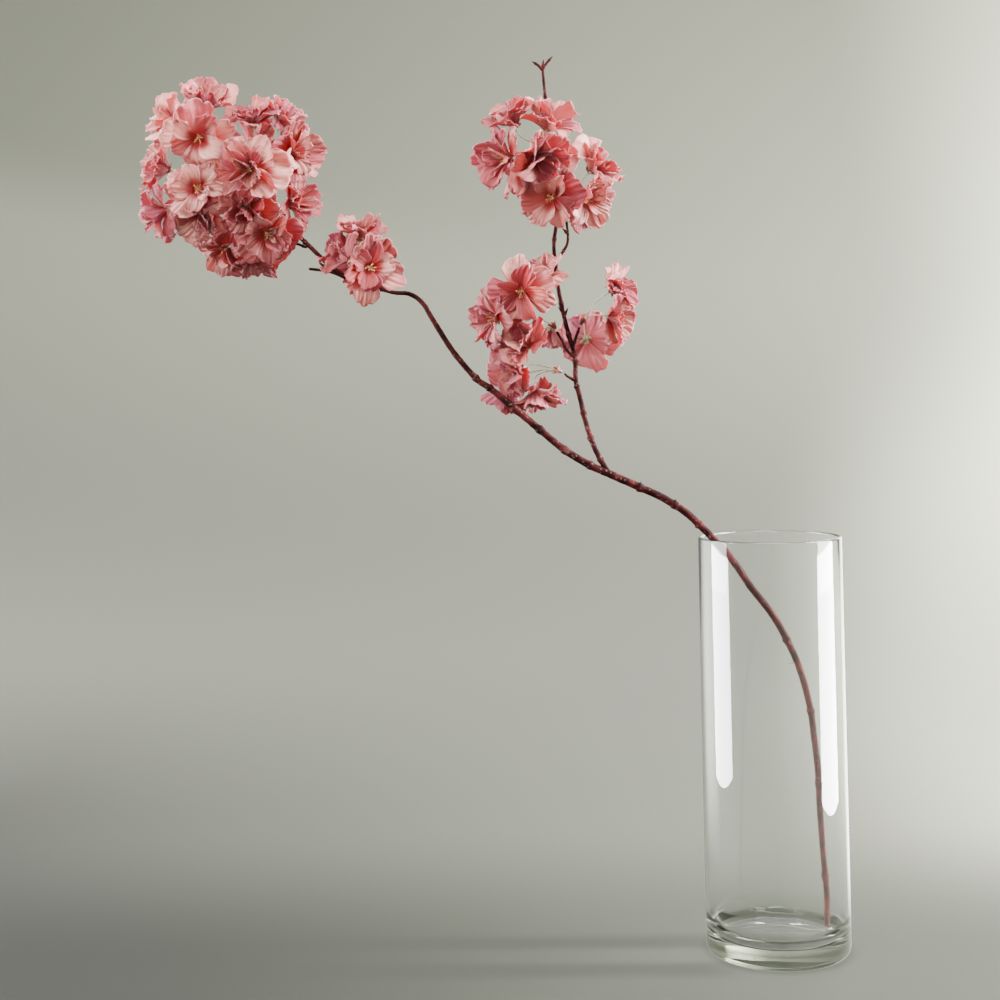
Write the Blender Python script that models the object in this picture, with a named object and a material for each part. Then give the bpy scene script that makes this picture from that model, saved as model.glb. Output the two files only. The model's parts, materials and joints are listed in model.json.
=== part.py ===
"""Double cherry blossom sprig standing in a clear glass cylinder vase, in metres, +Z up.

The origin is the middle of the vase's underside. The bare stem stands on the vase's floor, leans on the
rim and arches to -X, with one side branch that climbs straight up. Each spray is one cluster of thin
green wires that grow out of a knob at a twig's tip. Every wire swells into a calyx, passes through the
hole in its bloom's hub and ends above it in a boss with stamens, which holds the petals on. Petals of
neighbouring blooms press against each other, so each bloom is bent to stay inside its own cell of space.
"""

import math
import random

import bmesh
import bpy
import numpy as np
from mathutils import Vector

# Vase: a plain drawn cylinder with a thick floor, a rounded heel and a fire-polished rim.
VASE_RADIUS = 0.060
VASE_HEIGHT = 0.345
VASE_WALL = 0.003
VASE_FLOOR = 0.016
VASE_HEEL = 0.006
VASE_INNER_CORNER = 0.007
VASE_SEGMENTS = 40
ARC_STEPS = 3

# Radii of the wood, from the cut foot to the thin tips, and its sides and samples between route points.
STEM_FOOT_RADIUS = 0.0026
STEM_MIDDLE_RADIUS = 0.0033
STEM_TIP_RADIUS = 0.0012
STEM_STOUTEST = 0.55
CROWN_FOOT_RADIUS = 0.0021
SIDE_FOOT_RADIUS = 0.0024
SIDE_TIP_RADIUS = 0.0013
TWIG_RADIUS = 0.0014
TWIG_TIP_RADIUS = 0.0010
KNOT_SWELLING = 0.28
KNOT_WIDTH = 0.09
STEM_SIDES, LIMB_SIDES, TWIG_SIDES = 6, 6, 4
ROUTE_STEPS = 2

# Blooms: two rings of five petals on a small pierced hub.
PETALS_IN_RING = 5
HUB_RADIUS = 0.0032
HUB_TIER = 0.0009
HUB_HEIGHT = 2 * HUB_TIER
HUB_HOLE = 0.0019
HUB_BEHIND_HEART = 0.25
PETAL_THICKNESS = 0.0009
PETAL_ROOT_HALF_WIDTH = 0.0010
PETAL_CORNER_ROUNDING = 0.20

# How a petal of each ring is cut and set: sizes against the bloom's, rises in degrees above the plane
# of the hub, and how much steeper they get as the bloom closes.
OUTER_FORM = {"size": 1.0, "half_width": 0.47, "root_rise": 20, "root_closing": 40,
              "tip_rise": -6, "tip_closing": 45, "cup": 0.10, "twist": 0.14}
INNER_FORM = {"size": 0.76, "half_width": 0.37, "root_rise": 58, "root_closing": 18,
              "tip_rise": 30, "tip_closing": 32, "cup": 0.10, "twist": 0.30}

# Wires, calyx, boss and stamens of a spray.
WIRE_RADIUS = 0.0006
WIRE_SIDES = 4
WIRE_SPREAD = 0.0009
KNOB_RADIUS = 0.0017
KNOB_LENGTH = 0.0040
KNOB_SIDES = 5
CALYX_RADIUS = 0.0024
CALYX_LENGTH = 0.0050
CALYX_SHOULDER = 0.0020
NECK_RADIUS = 0.0010
BOSS_RADIUS = 0.0021
BOSS_TOP = 0.0045
STAMEN_REACH = 0.0095
STAMEN_SPREAD = 0.0042
PISTIL_REACH = 0.0085

GAP = 0.00035
CELL_CLEARANCE = 0.0011
CELL_EASE = 0.70

# The main stem, from its foot on the vase's floor, over the rim, to the lower twig's tip.
STEM_ROUTE = (
    (0.043, 0.008, 0.0165),
    (0.043, 0.007, 0.043),
    (0.040, 0.005, 0.083),
    (0.038, 0.003, 0.118),
    (0.037, 0.002, 0.148),
    (0.034, 0.000, 0.175),
    (0.032, -0.001, 0.194),
    (0.028, -0.003, 0.214),
    (0.021, -0.004, 0.238),
    (0.012, -0.006, 0.258),
    (-0.001, -0.009, 0.280),
    (-0.018, -0.011, 0.302),
    (-0.032, -0.014, 0.323),
    (-0.0495, -0.017, 0.345),
    (-0.061, -0.018, 0.357),
    (-0.074, -0.019, 0.369),
    (-0.093, -0.020, 0.381),
    (-0.110, -0.021, 0.389),
    (-0.136, -0.022, 0.401),
    (-0.151, -0.022, 0.408),
    (-0.172, -0.022, 0.421),
    (-0.192, -0.022, 0.438),
    (-0.220, -0.022, 0.462),
    (-0.234, -0.021, 0.474),
    (-0.245, -0.020, 0.482),
    (-0.264, -0.019, 0.505),
    (-0.280, -0.017, 0.531),
    (-0.289, -0.016, 0.546),
    (-0.300, -0.015, 0.554),
    (-0.315, -0.014, 0.556),
    (-0.347, -0.012, 0.566),
    (-0.366, -0.010, 0.574),
    (-0.384, -0.008, 0.577),
)

# Rings left on the stem by old buds, as places along its route.
STEM_KNOTS = (1.4, 3.6, 6.2, 9.0, 14.0, 15.4, 17.0, 19.0, 20.0, 21.0, 21.7, 23.0, 24.0)

# The crown branch leaves the stem's end and carries the large cluster.
CROWN_ROUTE = (
    (-0.347, -0.012, 0.566),
    (-0.363, -0.010, 0.576),
    (-0.373, -0.008, 0.585),
    (-0.387, -0.004, 0.599),
    (-0.397, -0.002, 0.608),
    (-0.412, 0.001, 0.618),
    (-0.429, 0.003, 0.631),
    (-0.444, 0.004, 0.646),
    (-0.457, 0.004, 0.662),
    (-0.467, 0.003, 0.679),
    (-0.473, 0.001, 0.691),
)

# The side branch climbs from the stem to the fork at the very top.
SIDE_ROUTE = (
    (-0.136, -0.022, 0.401),
    (-0.146, -0.018, 0.420),
    (-0.153, -0.012, 0.441),
    (-0.158, -0.006, 0.465),
    (-0.161, -0.001, 0.479),
    (-0.161, 0.003, 0.497),
    (-0.164, 0.005, 0.510),
    (-0.169, 0.007, 0.531),
    (-0.174, 0.009, 0.558),
    (-0.177, 0.010, 0.591),
    (-0.175, 0.011, 0.610),
    (-0.171, 0.011, 0.625),
    (-0.166, 0.012, 0.650),
    (-0.165, 0.012, 0.670),
    (-0.174, 0.013, 0.701),
    (-0.181, 0.014, 0.717),
    (-0.184, 0.014, 0.749),
)

# Short twigs and thorn-like spurs, each a route from the wood that carries it.
TWIG_ROUTES = (
    ((-0.364, -0.010, 0.573), (-0.371, -0.010, 0.578), (-0.375, -0.011, 0.5815)),
    ((-0.386, -0.004, 0.598), (-0.388, -0.005, 0.596), (-0.393, -0.007, 0.598), (-0.398, -0.009, 0.599)),
    ((-0.444, 0.004, 0.646), (-0.454, 0.005, 0.641), (-0.466, 0.004, 0.639)),
    ((-0.347, -0.012, 0.566), (-0.348, -0.010, 0.573)),
    ((-0.175, 0.010, 0.581), (-0.171, 0.008, 0.587), (-0.166, 0.006, 0.595), (-0.165, 0.005, 0.604),
     (-0.166, 0.003, 0.617), (-0.162, 0.001, 0.630), (-0.159, 0.000, 0.637)),
    ((-0.165, 0.005, 0.604), (-0.170, 0.003, 0.609)),
    ((-0.161, 0.003, 0.498), (-0.168, 0.001, 0.505), (-0.172, -0.001, 0.513), (-0.176, -0.002, 0.520)),
    ((-0.161, -0.001, 0.479), (-0.167, -0.003, 0.482), (-0.170, -0.004, 0.4845)),
    ((-0.163, 0.004, 0.507), (-0.159, 0.005, 0.518), (-0.157, 0.0055, 0.5235)),
    ((-0.171, 0.0075, 0.538), (-0.1745, 0.006, 0.542)),
    ((-0.170, 0.007, 0.533), (-0.166, 0.007, 0.541)),
    ((-0.164, 0.012, 0.664), (-0.168, 0.010, 0.672)),
    ((-0.184, 0.014, 0.747), (-0.188, 0.013, 0.751), (-0.193, 0.012, 0.754)),
    ((-0.184, 0.014, 0.747), (-0.183, 0.015, 0.756)),
    ((-0.184, 0.014, 0.747), (-0.180, 0.015, 0.753), (-0.175, 0.016, 0.759)),
)

# Sprays: name, where its knob stands, and the way the knob points.
SPRAYS = {
    "crown_a": ((-0.409, 0.006, 0.6215), (0.3, 0.5, 0.8)),
    "crown_b": ((-0.4325, 0.000, 0.628), (-0.5, -0.5, -0.7)),
    "crown_c": ((-0.441, 0.000, 0.649), (0.5, -0.7, 0.5)),
    "crown_d": ((-0.453, 0.004, 0.6655), (0.7, 0.2, 0.7)),
    "crown_e": ((-0.4745, 0.000, 0.695), (-0.3, -0.1, 0.95)),
    "crown_f": ((-0.470, 0.0035, 0.6385), (-1.0, -0.1, -0.1)),
    "middle_a": ((-0.3485, -0.009, 0.577), (-0.1, 0.2, 0.97)),
    "top_a": ((-0.157, 0.000, 0.641), (0.4, -0.1, 0.9)),
    "top_b": ((-0.170, 0.0085, 0.6755), (-0.5, -0.4, 0.75)),
    "side_a": ((-0.178, 0.0045, 0.5445), (-0.7, -0.3, 0.5)),
    "side_b": ((-0.178, -0.003, 0.5245), (-0.5, -0.3, 0.8)),
    "side_c": ((-0.174, -0.0055, 0.487), (-0.85, -0.3, 0.4)),
    "right_a": ((-0.155, 0.006, 0.528), (0.4, 0.1, 0.9)),
}

# Blooms: name, spray, heart of the bowl, the way it faces, petal length and how wide open it is.
BLOOMS = (
    ("crown_01", "crown_e", (-0.468, -0.014, 0.720), (0.15, -0.50, 0.85), 0.031, 0.6),
    ("crown_02", "crown_e", (-0.503, -0.006, 0.708), (-0.65, -0.40, 0.62), 0.030, 0.8),
    ("crown_03", "crown_e", (-0.472, -0.040, 0.684), (-0.10, -0.90, -0.42), 0.032, 0.9),
    ("crown_04", "crown_d", (-0.431, -0.012, 0.706), (-0.15, -0.45, 0.85), 0.029, 0.7),
    ("crown_05", "crown_d", (-0.407, 0.002, 0.707), (0.40, -0.35, 0.82), 0.029, 0.6),
    ("crown_06", "crown_d", (-0.394, -0.008, 0.676), (0.78, -0.55, 0.10), 0.031, 0.7),
    ("crown_07", "crown_c", (-0.430, -0.048, 0.657), (-0.05, -0.98, -0.15), 0.035, 1.0),
    ("crown_08", "crown_f", (-0.509, -0.010, 0.665), (-0.85, -0.48, 0.15), 0.029, 0.7),
    ("crown_09", "crown_c", (-0.472, -0.042, 0.643), (0.05, -0.97, 0.05), 0.031, 0.9),
    ("crown_10", "crown_f", (-0.511, -0.012, 0.626), (-0.80, -0.45, -0.35), 0.030, 0.8),
    ("crown_11", "crown_f", (-0.473, -0.026, 0.619), (-0.10, -0.60, -0.78), 0.029, 0.7),
    ("crown_12", "crown_b", (-0.434, -0.036, 0.623), (0.00, -0.75, -0.66), 0.030, 0.8),
    ("crown_13", "crown_a", (-0.395, -0.006, 0.634), (0.85, -0.45, 0.15), 0.030, 0.7),
    ("crown_14", "crown_b", (-0.416, -0.028, 0.604), (0.20, -0.90, -0.35), 0.032, 0.9),
    ("crown_15", "crown_b", (-0.456, -0.010, 0.592), (-0.40, -0.60, -0.68), 0.031, 0.8),
    ("crown_16", "crown_b", (-0.430, -0.004, 0.584), (0.25, -0.35, -0.88), 0.028, 0.7),
    ("crown_17", "crown_e", (-0.496, 0.034, 0.703), (-0.40, 0.75, 0.50), 0.030, 0.8),
    ("crown_18", "crown_d", (-0.436, 0.038, 0.694), (0.30, 0.85, 0.35), 0.030, 0.8),
    ("crown_19", "crown_f", (-0.492, 0.034, 0.638), (-0.50, 0.80, -0.25), 0.030, 0.8),
    ("crown_20", "crown_a", (-0.436, 0.036, 0.628), (0.40, 0.80, -0.35), 0.030, 0.8),
    ("middle_1", "middle_a", (-0.330, -0.040, 0.575), (0.35, -0.92, -0.12), 0.031, 0.8),
    ("middle_2", "middle_a", (-0.357, -0.018, 0.588), (-0.75, -0.30, 0.45), 0.030, 0.7),
    ("middle_3", "middle_a", (-0.340, -0.010, 0.609), (0.15, -0.25, 0.95), 0.030, 0.6),
    ("middle_4", "middle_a", (-0.342, 0.016, 0.584), (0.10, 0.90, 0.20), 0.029, 0.8),
    ("top_1", "top_b", (-0.220, -0.008, 0.668), (-0.85, -0.45, -0.10), 0.031, 0.8),
    ("top_2", "top_b", (-0.191, -0.032, 0.663), (0.35, -0.75, -0.50), 0.032, 0.6),
    ("top_3", "top_b", (-0.180, -0.006, 0.699), (0.35, -0.45, 0.82), 0.029, 0.6),
    ("top_4", "top_b", (-0.211, -0.002, 0.703), (-0.35, -0.35, 0.87), 0.028, 0.6),
    ("top_5", "top_a", (-0.181, -0.030, 0.631), (-0.30, -0.92, -0.25), 0.032, 0.9),
    ("top_6", "top_a", (-0.147, -0.014, 0.631), (0.65, -0.65, -0.40), 0.030, 0.7),
    ("top_7", "top_a", (-0.141, -0.004, 0.662), (0.62, -0.35, 0.70), 0.028, 0.7),
    ("top_8", "top_b", (-0.187, 0.032, 0.667), (-0.10, 0.95, 0.10), 0.030, 0.8),
    ("side_1", "side_a", (-0.189, -0.008, 0.569), (-0.05, -0.50, 0.86), 0.028, 0.6),
    ("side_2", "side_a", (-0.207, -0.030, 0.553), (-0.20, -0.93, -0.25), 0.031, 0.9),
    ("side_3", "side_b", (-0.233, -0.014, 0.533), (-0.88, -0.42, 0.05), 0.032, 0.8),
    ("side_4", "side_b", (-0.205, -0.020, 0.512), (-0.55, -0.65, 0.45), 0.030, 0.7),
    ("side_5", "side_b", (-0.183, 0.006, 0.518), (-0.20, 0.30, -0.90), 0.022, 0.6),
    ("side_6", "side_c", (-0.213, -0.014, 0.488), (-0.75, -0.50, -0.30), 0.028, 0.7),
    ("side_7", "side_c", (-0.195, -0.002, 0.466), (0.15, -0.30, -0.93), 0.029, 0.8),
    ("side_8", "side_c", (-0.221, 0.010, 0.470), (-0.50, 0.60, -0.60), 0.025, 0.7),
    ("right_1", "right_a", (-0.124, -0.004, 0.558), (0.75, -0.45, 0.45), 0.029, 0.7),
    ("right_2", "right_a", (-0.125, -0.008, 0.531), (0.85, -0.45, -0.20), 0.030, 0.7),
    ("right_3", "right_a", (-0.150, 0.018, 0.512), (0.15, 0.93, -0.30), 0.030, 0.9),
)

GLASS = ("clear_glass", (0.93, 0.97, 0.95), 0.02, 0.0)
BARK = ("painted_bark", (0.10, 0.030, 0.025), 0.45, 0.0)
PETAL = ("silk_petal", (0.80, 0.30, 0.27), 0.75, 0.0)
WIRE = ("green_wire", (0.42, 0.45, 0.25), 0.6, 0.0)


def clear_scene():
    for thing in list(bpy.data.objects):
        bpy.data.objects.remove(thing, do_unlink=True)


def material(look):
    name, colour, roughness, metallic = look
    found = bpy.data.materials.get(name)
    if found:
        return found
    made = bpy.data.materials.new(name)
    made.use_nodes = True
    shader = made.node_tree.nodes["Principled BSDF"]
    shader.inputs["Base Color"].default_value = (*colour, 1.0)
    shader.inputs["Roughness"].default_value = roughness
    shader.inputs["Metallic"].default_value = metallic
    return made


def add_object(name, points, faces, look):
    """An object at the origin from a list of points and faces, its faces turned outwards."""
    mesh = bpy.data.meshes.new(name)
    mesh.from_pydata([tuple(p) for p in points], [], faces)
    work = bmesh.new()
    work.from_mesh(mesh)
    bmesh.ops.recalc_face_normals(work, faces=work.faces)
    bmesh.ops.triangulate(work, faces=work.faces)
    work.to_mesh(mesh)
    work.free()
    mesh.materials.append(material(look))
    made = bpy.data.objects.new(name, mesh)
    bpy.context.scene.collection.objects.link(made)
    return made


def join_all(name, pieces):
    """One object from overlapping closed pieces, by a Boolean union on a collection."""
    first, rest = pieces[0], pieces[1:]
    first.name = name
    group = bpy.data.collections.new(name + "_parts")
    bpy.context.scene.collection.children.link(group)
    for piece in rest:
        group.objects.link(piece)
        bpy.context.scene.collection.objects.unlink(piece)
    union = first.modifiers.new("Union", "BOOLEAN")
    union.operation = "UNION"
    union.operand_type = "COLLECTION"
    union.collection = group
    union.solver = "EXACT"
    graph = bpy.context.evaluated_depsgraph_get()
    joined = bpy.data.meshes.new_from_object(first.evaluated_get(graph))
    first.modifiers.remove(union)
    first.data = joined
    for piece in rest:
        bpy.data.objects.remove(piece, do_unlink=True)
    bpy.data.collections.remove(group)
    return first


def smooth_path(route, steps):
    """Points of a Catmull-Rom curve through a route, with its place along the route's points."""
    knots = [Vector(p) for p in route]
    ends = [knots[0] * 2 - knots[1]] + knots + [knots[-1] * 2 - knots[-2]]
    path = []
    for i in range(len(knots) - 1):
        a, b, c, d = ends[i:i + 4]
        for k in range(steps):
            t = k / steps
            point = b + (c - a) * (t / 2) + (a * 2 - b * 5 + c * 4 - d) * (t * t / 2)
            point = point + (b * 3 - a - c * 3 + d) * (t ** 3 / 2)
            path.append((point, i + t))
    path.append((knots[-1], float(len(knots) - 1)))
    return path


def tube(points, radii, sides):
    """Points and faces of a closed tube along a path; a radius of zero ends it in a point."""
    points = [Vector(p) for p in points]
    side = (points[1] - points[0]).normalized().orthogonal().normalized()
    found, faces, rings = [], [], []
    for i, (point, radius) in enumerate(zip(points, radii)):
        ahead = points[min(i + 1, len(points) - 1)] - points[max(i - 1, 0)]
        ahead.normalize()
        side = (side - ahead * side.dot(ahead)).normalized()
        across = ahead.cross(side)
        if radius == 0:
            rings.append([len(found)])
            found.append(point)
            continue
        rings.append(list(range(len(found), len(found) + sides)))
        for k in range(sides):
            turn = 2 * math.pi * k / sides
            found.append(point + (side * math.cos(turn) + across * math.sin(turn)) * radius)
    for low, high in zip(rings, rings[1:]):
        for k in range(sides):
            after = (k + 1) % sides
            if len(high) == 1:
                faces.append((low[k], low[after], high[0]))
            else:
                faces.append((low[k], low[after], high[after], high[k]))
    faces.append(tuple(reversed(rings[0])))
    if len(rings[-1]) > 1:
        faces.append(tuple(rings[-1]))
    return found, faces


def arc(centre_r, centre_z, radius, start, end):
    """Points of a quarter arc in the vase's profile, as radius and height."""
    turns = np.linspace(math.radians(start), math.radians(end), ARC_STEPS + 1)
    return [(centre_r + radius * math.cos(t), centre_z + radius * math.sin(t)) for t in turns]


def vase_profile():
    """The glass's outline from the middle of its underside, round the rim, to the middle of its floor."""
    inner = VASE_RADIUS - VASE_WALL
    lip = VASE_WALL / 2
    outline = [(0.0, 0.0)]
    outline += arc(VASE_RADIUS - VASE_HEEL, VASE_HEEL, VASE_HEEL, -90, 0)
    outline += arc(VASE_RADIUS - lip, VASE_HEIGHT - lip, lip, 0, 180)
    corner = VASE_INNER_CORNER
    outline += arc(inner - corner, VASE_FLOOR + corner, corner, 0, -90)
    outline.append((0.0, VASE_FLOOR))
    return outline


def make_vase():
    outline = vase_profile()
    points, faces, rings = [], [], []
    for radius, height in outline:
        count = VASE_SEGMENTS if radius > 0 else 1
        rings.append(list(range(len(points), len(points) + count)))
        for k in range(count):
            turn = 2 * math.pi * k / VASE_SEGMENTS
            points.append((radius * math.cos(turn), radius * math.sin(turn), height))
    for low, high in zip(rings, rings[1:]):
        for k in range(VASE_SEGMENTS):
            after = (k + 1) % VASE_SEGMENTS
            corners = [low[k % len(low)], low[after % len(low)], high[after % len(high)], high[k % len(high)]]
            faces.append(tuple(dict.fromkeys(corners)))
    vase = add_object("vase", points, faces, GLASS)
    vase.data.shade_smooth()
    vase.data.set_sharp_from_angle(angle=math.radians(40))
    return vase


def knot_swelling(place, knots):
    """How much thicker the stem is here because of its bud rings."""
    return 1 + KNOT_SWELLING * sum(math.exp(-(((place - knot) / KNOT_WIDTH) ** 2)) for knot in knots)


def branch_piece(name, route, steps, radius_at, sides):
    path = smooth_path(route, steps)
    last = len(route) - 1
    radii = [radius_at(place / last, place) for _, place in path]
    points, faces = tube([p for p, _ in path], radii, sides)
    return add_object(name, points, faces, BARK)


def stem_radius(share, place):
    """The stem is stoutest where the side branch leaves it and thins to a twig at its end."""
    if share < STEM_STOUTEST:
        base = STEM_FOOT_RADIUS + (STEM_MIDDLE_RADIUS - STEM_FOOT_RADIUS) * share / STEM_STOUTEST
    else:
        thinned = ((share - STEM_STOUTEST) / (1 - STEM_STOUTEST)) ** 1.3
        base = STEM_MIDDLE_RADIUS + (STEM_TIP_RADIUS - STEM_MIDDLE_RADIUS) * thinned
    return base * knot_swelling(place, STEM_KNOTS)


def tapered(start, end):
    return lambda share, place: start + (end - start) * share


def make_branch():
    crown_radius = tapered(CROWN_FOOT_RADIUS, TWIG_RADIUS)
    side_radius = tapered(SIDE_FOOT_RADIUS, SIDE_TIP_RADIUS)
    twig_radius = tapered(TWIG_RADIUS, TWIG_TIP_RADIUS)
    pieces = [
        branch_piece("stem", STEM_ROUTE, ROUTE_STEPS, stem_radius, STEM_SIDES),
        branch_piece("crown", CROWN_ROUTE, 1, crown_radius, LIMB_SIDES),
        branch_piece("side", SIDE_ROUTE, 1, side_radius, LIMB_SIDES),
    ]
    for i, route in enumerate(TWIG_ROUTES):
        pieces.append(branch_piece(f"twig_{i}", route, 1, twig_radius, TWIG_SIDES))
    return join_all("branch", pieces)


class Bloom:
    """One bloom's place: its heart, its axis, its hub and the cell of space that it keeps to."""

    def __init__(self, index, row):
        self.name, self.spray, heart, facing, self.length, self.open = row
        self.heart = Vector(heart)
        self.axis = Vector(facing).normalized()
        self.hub = self.heart - self.axis * (HUB_BEHIND_HEART * self.length)
        draw = random.Random(100 + index)
        turn = draw.uniform(0, 2 * math.pi / PETALS_IN_RING)
        first = self.axis.orthogonal().normalized()
        second = self.axis.cross(first)
        self.east = first * math.cos(turn) + second * math.sin(turn)
        self.north = self.axis.cross(self.east)
        self.draw = draw
        self.walls = []

    def place(self, x, y, z):
        return self.hub + self.east * x + self.north * y + self.axis * z

    def wire_path(self):
        """The wire from the spray's knob to the foot of this bloom's calyx."""
        start, way = (Vector(v) for v in SPRAYS[self.spray])
        end = self.place(0, 0, -CALYX_LENGTH)
        aside = (end - start) - way * ((end - start).dot(way) / way.length_squared)
        start = start + aside.normalized() * WIRE_SPREAD
        reach = (end - start).length
        pull = way.normalized() * (0.30 * reach)
        push = self.axis * (-0.38 * reach)
        path = []
        for t in (0.0, 0.5, 1.0):
            s = 1 - t
            path.append(start * s ** 3 + (start + pull) * (3 * s * s * t)
                        + (end + push) * (3 * s * t * t) + end * t ** 3)
        return path

    def bend(self, point):
        """The point eased back from every wall of the bloom's cell, so that petals press but never cross."""
        for normal, limit in self.walls:
            start = CELL_EASE * limit
            reach = (point - self.heart).dot(normal)
            if reach > start:
                room = limit - start
                eased = start + room * (1 - math.exp(-(reach - start) / room))
                point = point + normal * (eased - reach)
        return point


def closest_on(path, point):
    """The point of a path that is closest to a point."""
    best = None
    for a, b in zip(path, path[1:]):
        along = b - a
        t = max(0.0, min(1.0, (point - a).dot(along) / along.length_squared))
        found = a + along * t
        if best is None or (found - point).length < (best - point).length:
            best = found
    return best


def set_cells(blooms):
    """Walls between neighbours, and between each bloom and the wood and wires that pass it."""
    limbs = ((STEM_ROUTE, STEM_MIDDLE_RADIUS), (CROWN_ROUTE, CROWN_FOOT_RADIUS),
             (SIDE_ROUTE, SIDE_FOOT_RADIUS))
    woods = [([p for p, _ in smooth_path(route, ROUTE_STEPS)], radius) for route, radius in limbs]
    woods += [([Vector(p) for p in route], TWIG_RADIUS) for route in TWIG_ROUTES]
    wires = {bloom.name: bloom.wire_path() for bloom in blooms}
    for bloom in blooms:
        for other in blooms:
            apart = other.heart - bloom.heart
            if other is bloom or apart.length > bloom.length + other.length:
                continue
            share = bloom.length / (bloom.length + other.length)
            bloom.walls.append((apart.normalized(), apart.length * share - CELL_CLEARANCE))
        obstacles = woods + [(path, WIRE_RADIUS) for name, path in wires.items() if name != bloom.name]
        for path, radius in obstacles:
            apart = closest_on(path, bloom.heart) - bloom.heart
            if apart.length < bloom.length:
                bloom.walls.append((apart.normalized(), apart.length - radius - CELL_CLEARANCE))


class Petal:
    """A petal's surface in the bloom's frame: u runs from root to tip, v from edge to edge."""

    def __init__(self, bloom, ring, number):
        form = INNER_FORM if ring else OUTER_FORM
        draw = bloom.draw
        closed = 1 - bloom.open
        self.azimuth = 2 * math.pi * (number + 0.5 * ring) / PETALS_IN_RING
        self.root_height = HUB_TIER * (ring + 0.5)
        self.length = bloom.length * form["size"] * draw.uniform(0.94, 1.05)
        self.half_width = self.length * form["half_width"] * draw.uniform(0.96, 1.05)
        root_rise = form["root_rise"] + form["root_closing"] * closed + draw.uniform(-4, 4)
        tip_rise = form["tip_rise"] + form["tip_closing"] * closed + draw.uniform(-8, 8)
        self.root_rise, self.tip_rise = math.radians(root_rise), math.radians(tip_rise)
        self.cup = form["cup"] * draw.uniform(0.8, 1.2)
        self.twist = form["twist"] * draw.uniform(0.8, 1.2)

    def point(self, u, v):
        """Where the middle of the petal's thickness is, as x outwards, y across, z along the axis."""
        u = u * (1 - PETAL_CORNER_ROUNDING * abs(v) ** 2.5)
        change = self.tip_rise - self.root_rise
        rise = self.root_rise + change * u
        out = HUB_RADIUS + self.length * (math.sin(rise) - math.sin(self.root_rise)) / change
        up = self.root_height + self.length * (math.cos(self.root_rise) - math.cos(rise)) / change
        spread = math.sin(math.pi * 0.62 * u ** 0.85)
        half = PETAL_ROOT_HALF_WIDTH + (self.half_width - PETAL_ROOT_HALF_WIDTH) * spread
        lift = half * (self.cup * v * v + self.twist * v)
        return Vector((out - math.sin(rise) * lift, half * v, up + math.cos(rise) * lift))

    def turned(self, point):
        """The point swung round the bloom's axis to the petal's place in its ring."""
        c, s = math.cos(self.azimuth), math.sin(self.azimuth)
        return point.x * c - point.y * s, point.x * s + point.y * c, point.z


# A petal's rim from one root corner to the other, notched at its tip. A fan of triangles joins it to the
# petal's middle, alike on both faces.
OUTER_RIM = ((0.45, -1.0), (0.90, -1.0), (1.05, -0.45), (0.92, 0.0), (1.05, 0.45), (0.90, 1.0), (0.45, 1.0))
INNER_RIM = ((0.55, -1.0), (1.04, -0.60), (0.90, 0.0), (1.04, 0.60), (0.55, 1.0))
PETAL_MIDDLE = (0.62, 0.0)


def petal_faces(bloom, petal, outline, roots, points, faces):
    """Adds one lens-shaped petal that grows out of a side face of the hub, given by its four corners."""
    left_low, right_low, left_high, right_high = roots
    u, v = PETAL_MIDDLE

    def settled(u, v):
        return bloom.bend(bloom.place(*petal.turned(petal.point(u, v))))

    middle = settled(u, v)
    bulge = (settled(u + 0.02, v) - middle).cross(settled(u, v + 0.02) - middle)
    bulge = bulge.normalized() * (PETAL_THICKNESS / 2)
    rim = [len(points) + i for i in range(len(outline))]
    points += [settled(*place) for place in outline] + [middle + bulge, middle - bulge]
    top, bottom = len(points) - 2, len(points) - 1
    for left, right, peak, down in ((left_high, right_high, top, False), (left_low, right_low, bottom, True)):
        loop = [left] + rim + [right]
        for a, b in zip(loop, loop[1:] + loop[:1]):
            faces.append((b, a, peak) if down else (a, b, peak))
    faces += [(left_low, left_high, rim[0]), (right_high, right_low, rim[-1])]


def ring_points(bloom, radius, height, sides, half_step):
    """The corners of a level polygon round the bloom's axis."""
    turns = [2 * math.pi * (k - half_step) / sides for k in range(sides)]
    return [bloom.place(radius * math.cos(t), radius * math.sin(t), height) for t in turns]


def make_bloom(bloom):
    """The pierced hub in two tiers: five outer petals grow out of the lower, five inner ones of the upper."""
    sides = 2 * PETALS_IN_RING
    points, faces = [], []
    for level in range(3):
        points += ring_points(bloom, HUB_RADIUS, level * HUB_TIER, sides, 0.5)
    hole = len(points)
    for height in (0.0, HUB_HEIGHT):
        points += ring_points(bloom, HUB_HOLE, height, WIRE_SIDES, 0)
    for ring, outline in enumerate((OUTER_RIM, INNER_RIM)):
        for k in range(sides):
            low, after = ring * sides + k, ring * sides + (k + 1) % sides
            roots = (low, after, low + sides, after + sides)
            if k % 2 == ring:
                petal_faces(bloom, Petal(bloom, ring, k // 2), outline, roots, points, faces)
            else:
                faces.append((low, after, after + sides, low + sides))
    for k in range(WIRE_SIDES):
        after = (k + 1) % WIRE_SIDES
        faces.append((hole + k, hole + after, hole + WIRE_SIDES + after, hole + WIRE_SIDES + k))
    faces += annulus(0, sides, hole, WIRE_SIDES)
    faces += annulus(2 * sides, sides, hole + WIRE_SIDES, WIRE_SIDES)
    return add_object("bloom_" + bloom.name, points, faces, PETAL)


def annulus(outer, outer_count, inner, inner_count):
    """Triangles between two rings of points that start at about the same angle."""
    faces, i, j = [], 0, 0
    while i < outer_count or j < inner_count:
        o, p = outer + i % outer_count, inner + j % inner_count
        if j == inner_count or (i < outer_count and (i + 0.5) / outer_count <= (j + 0.5) / inner_count):
            faces.append((o, outer + (i + 1) % outer_count, p))
            i += 1
        else:
            faces.append((o, inner + (j + 1) % inner_count, p))
            j += 1
    return faces


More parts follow.
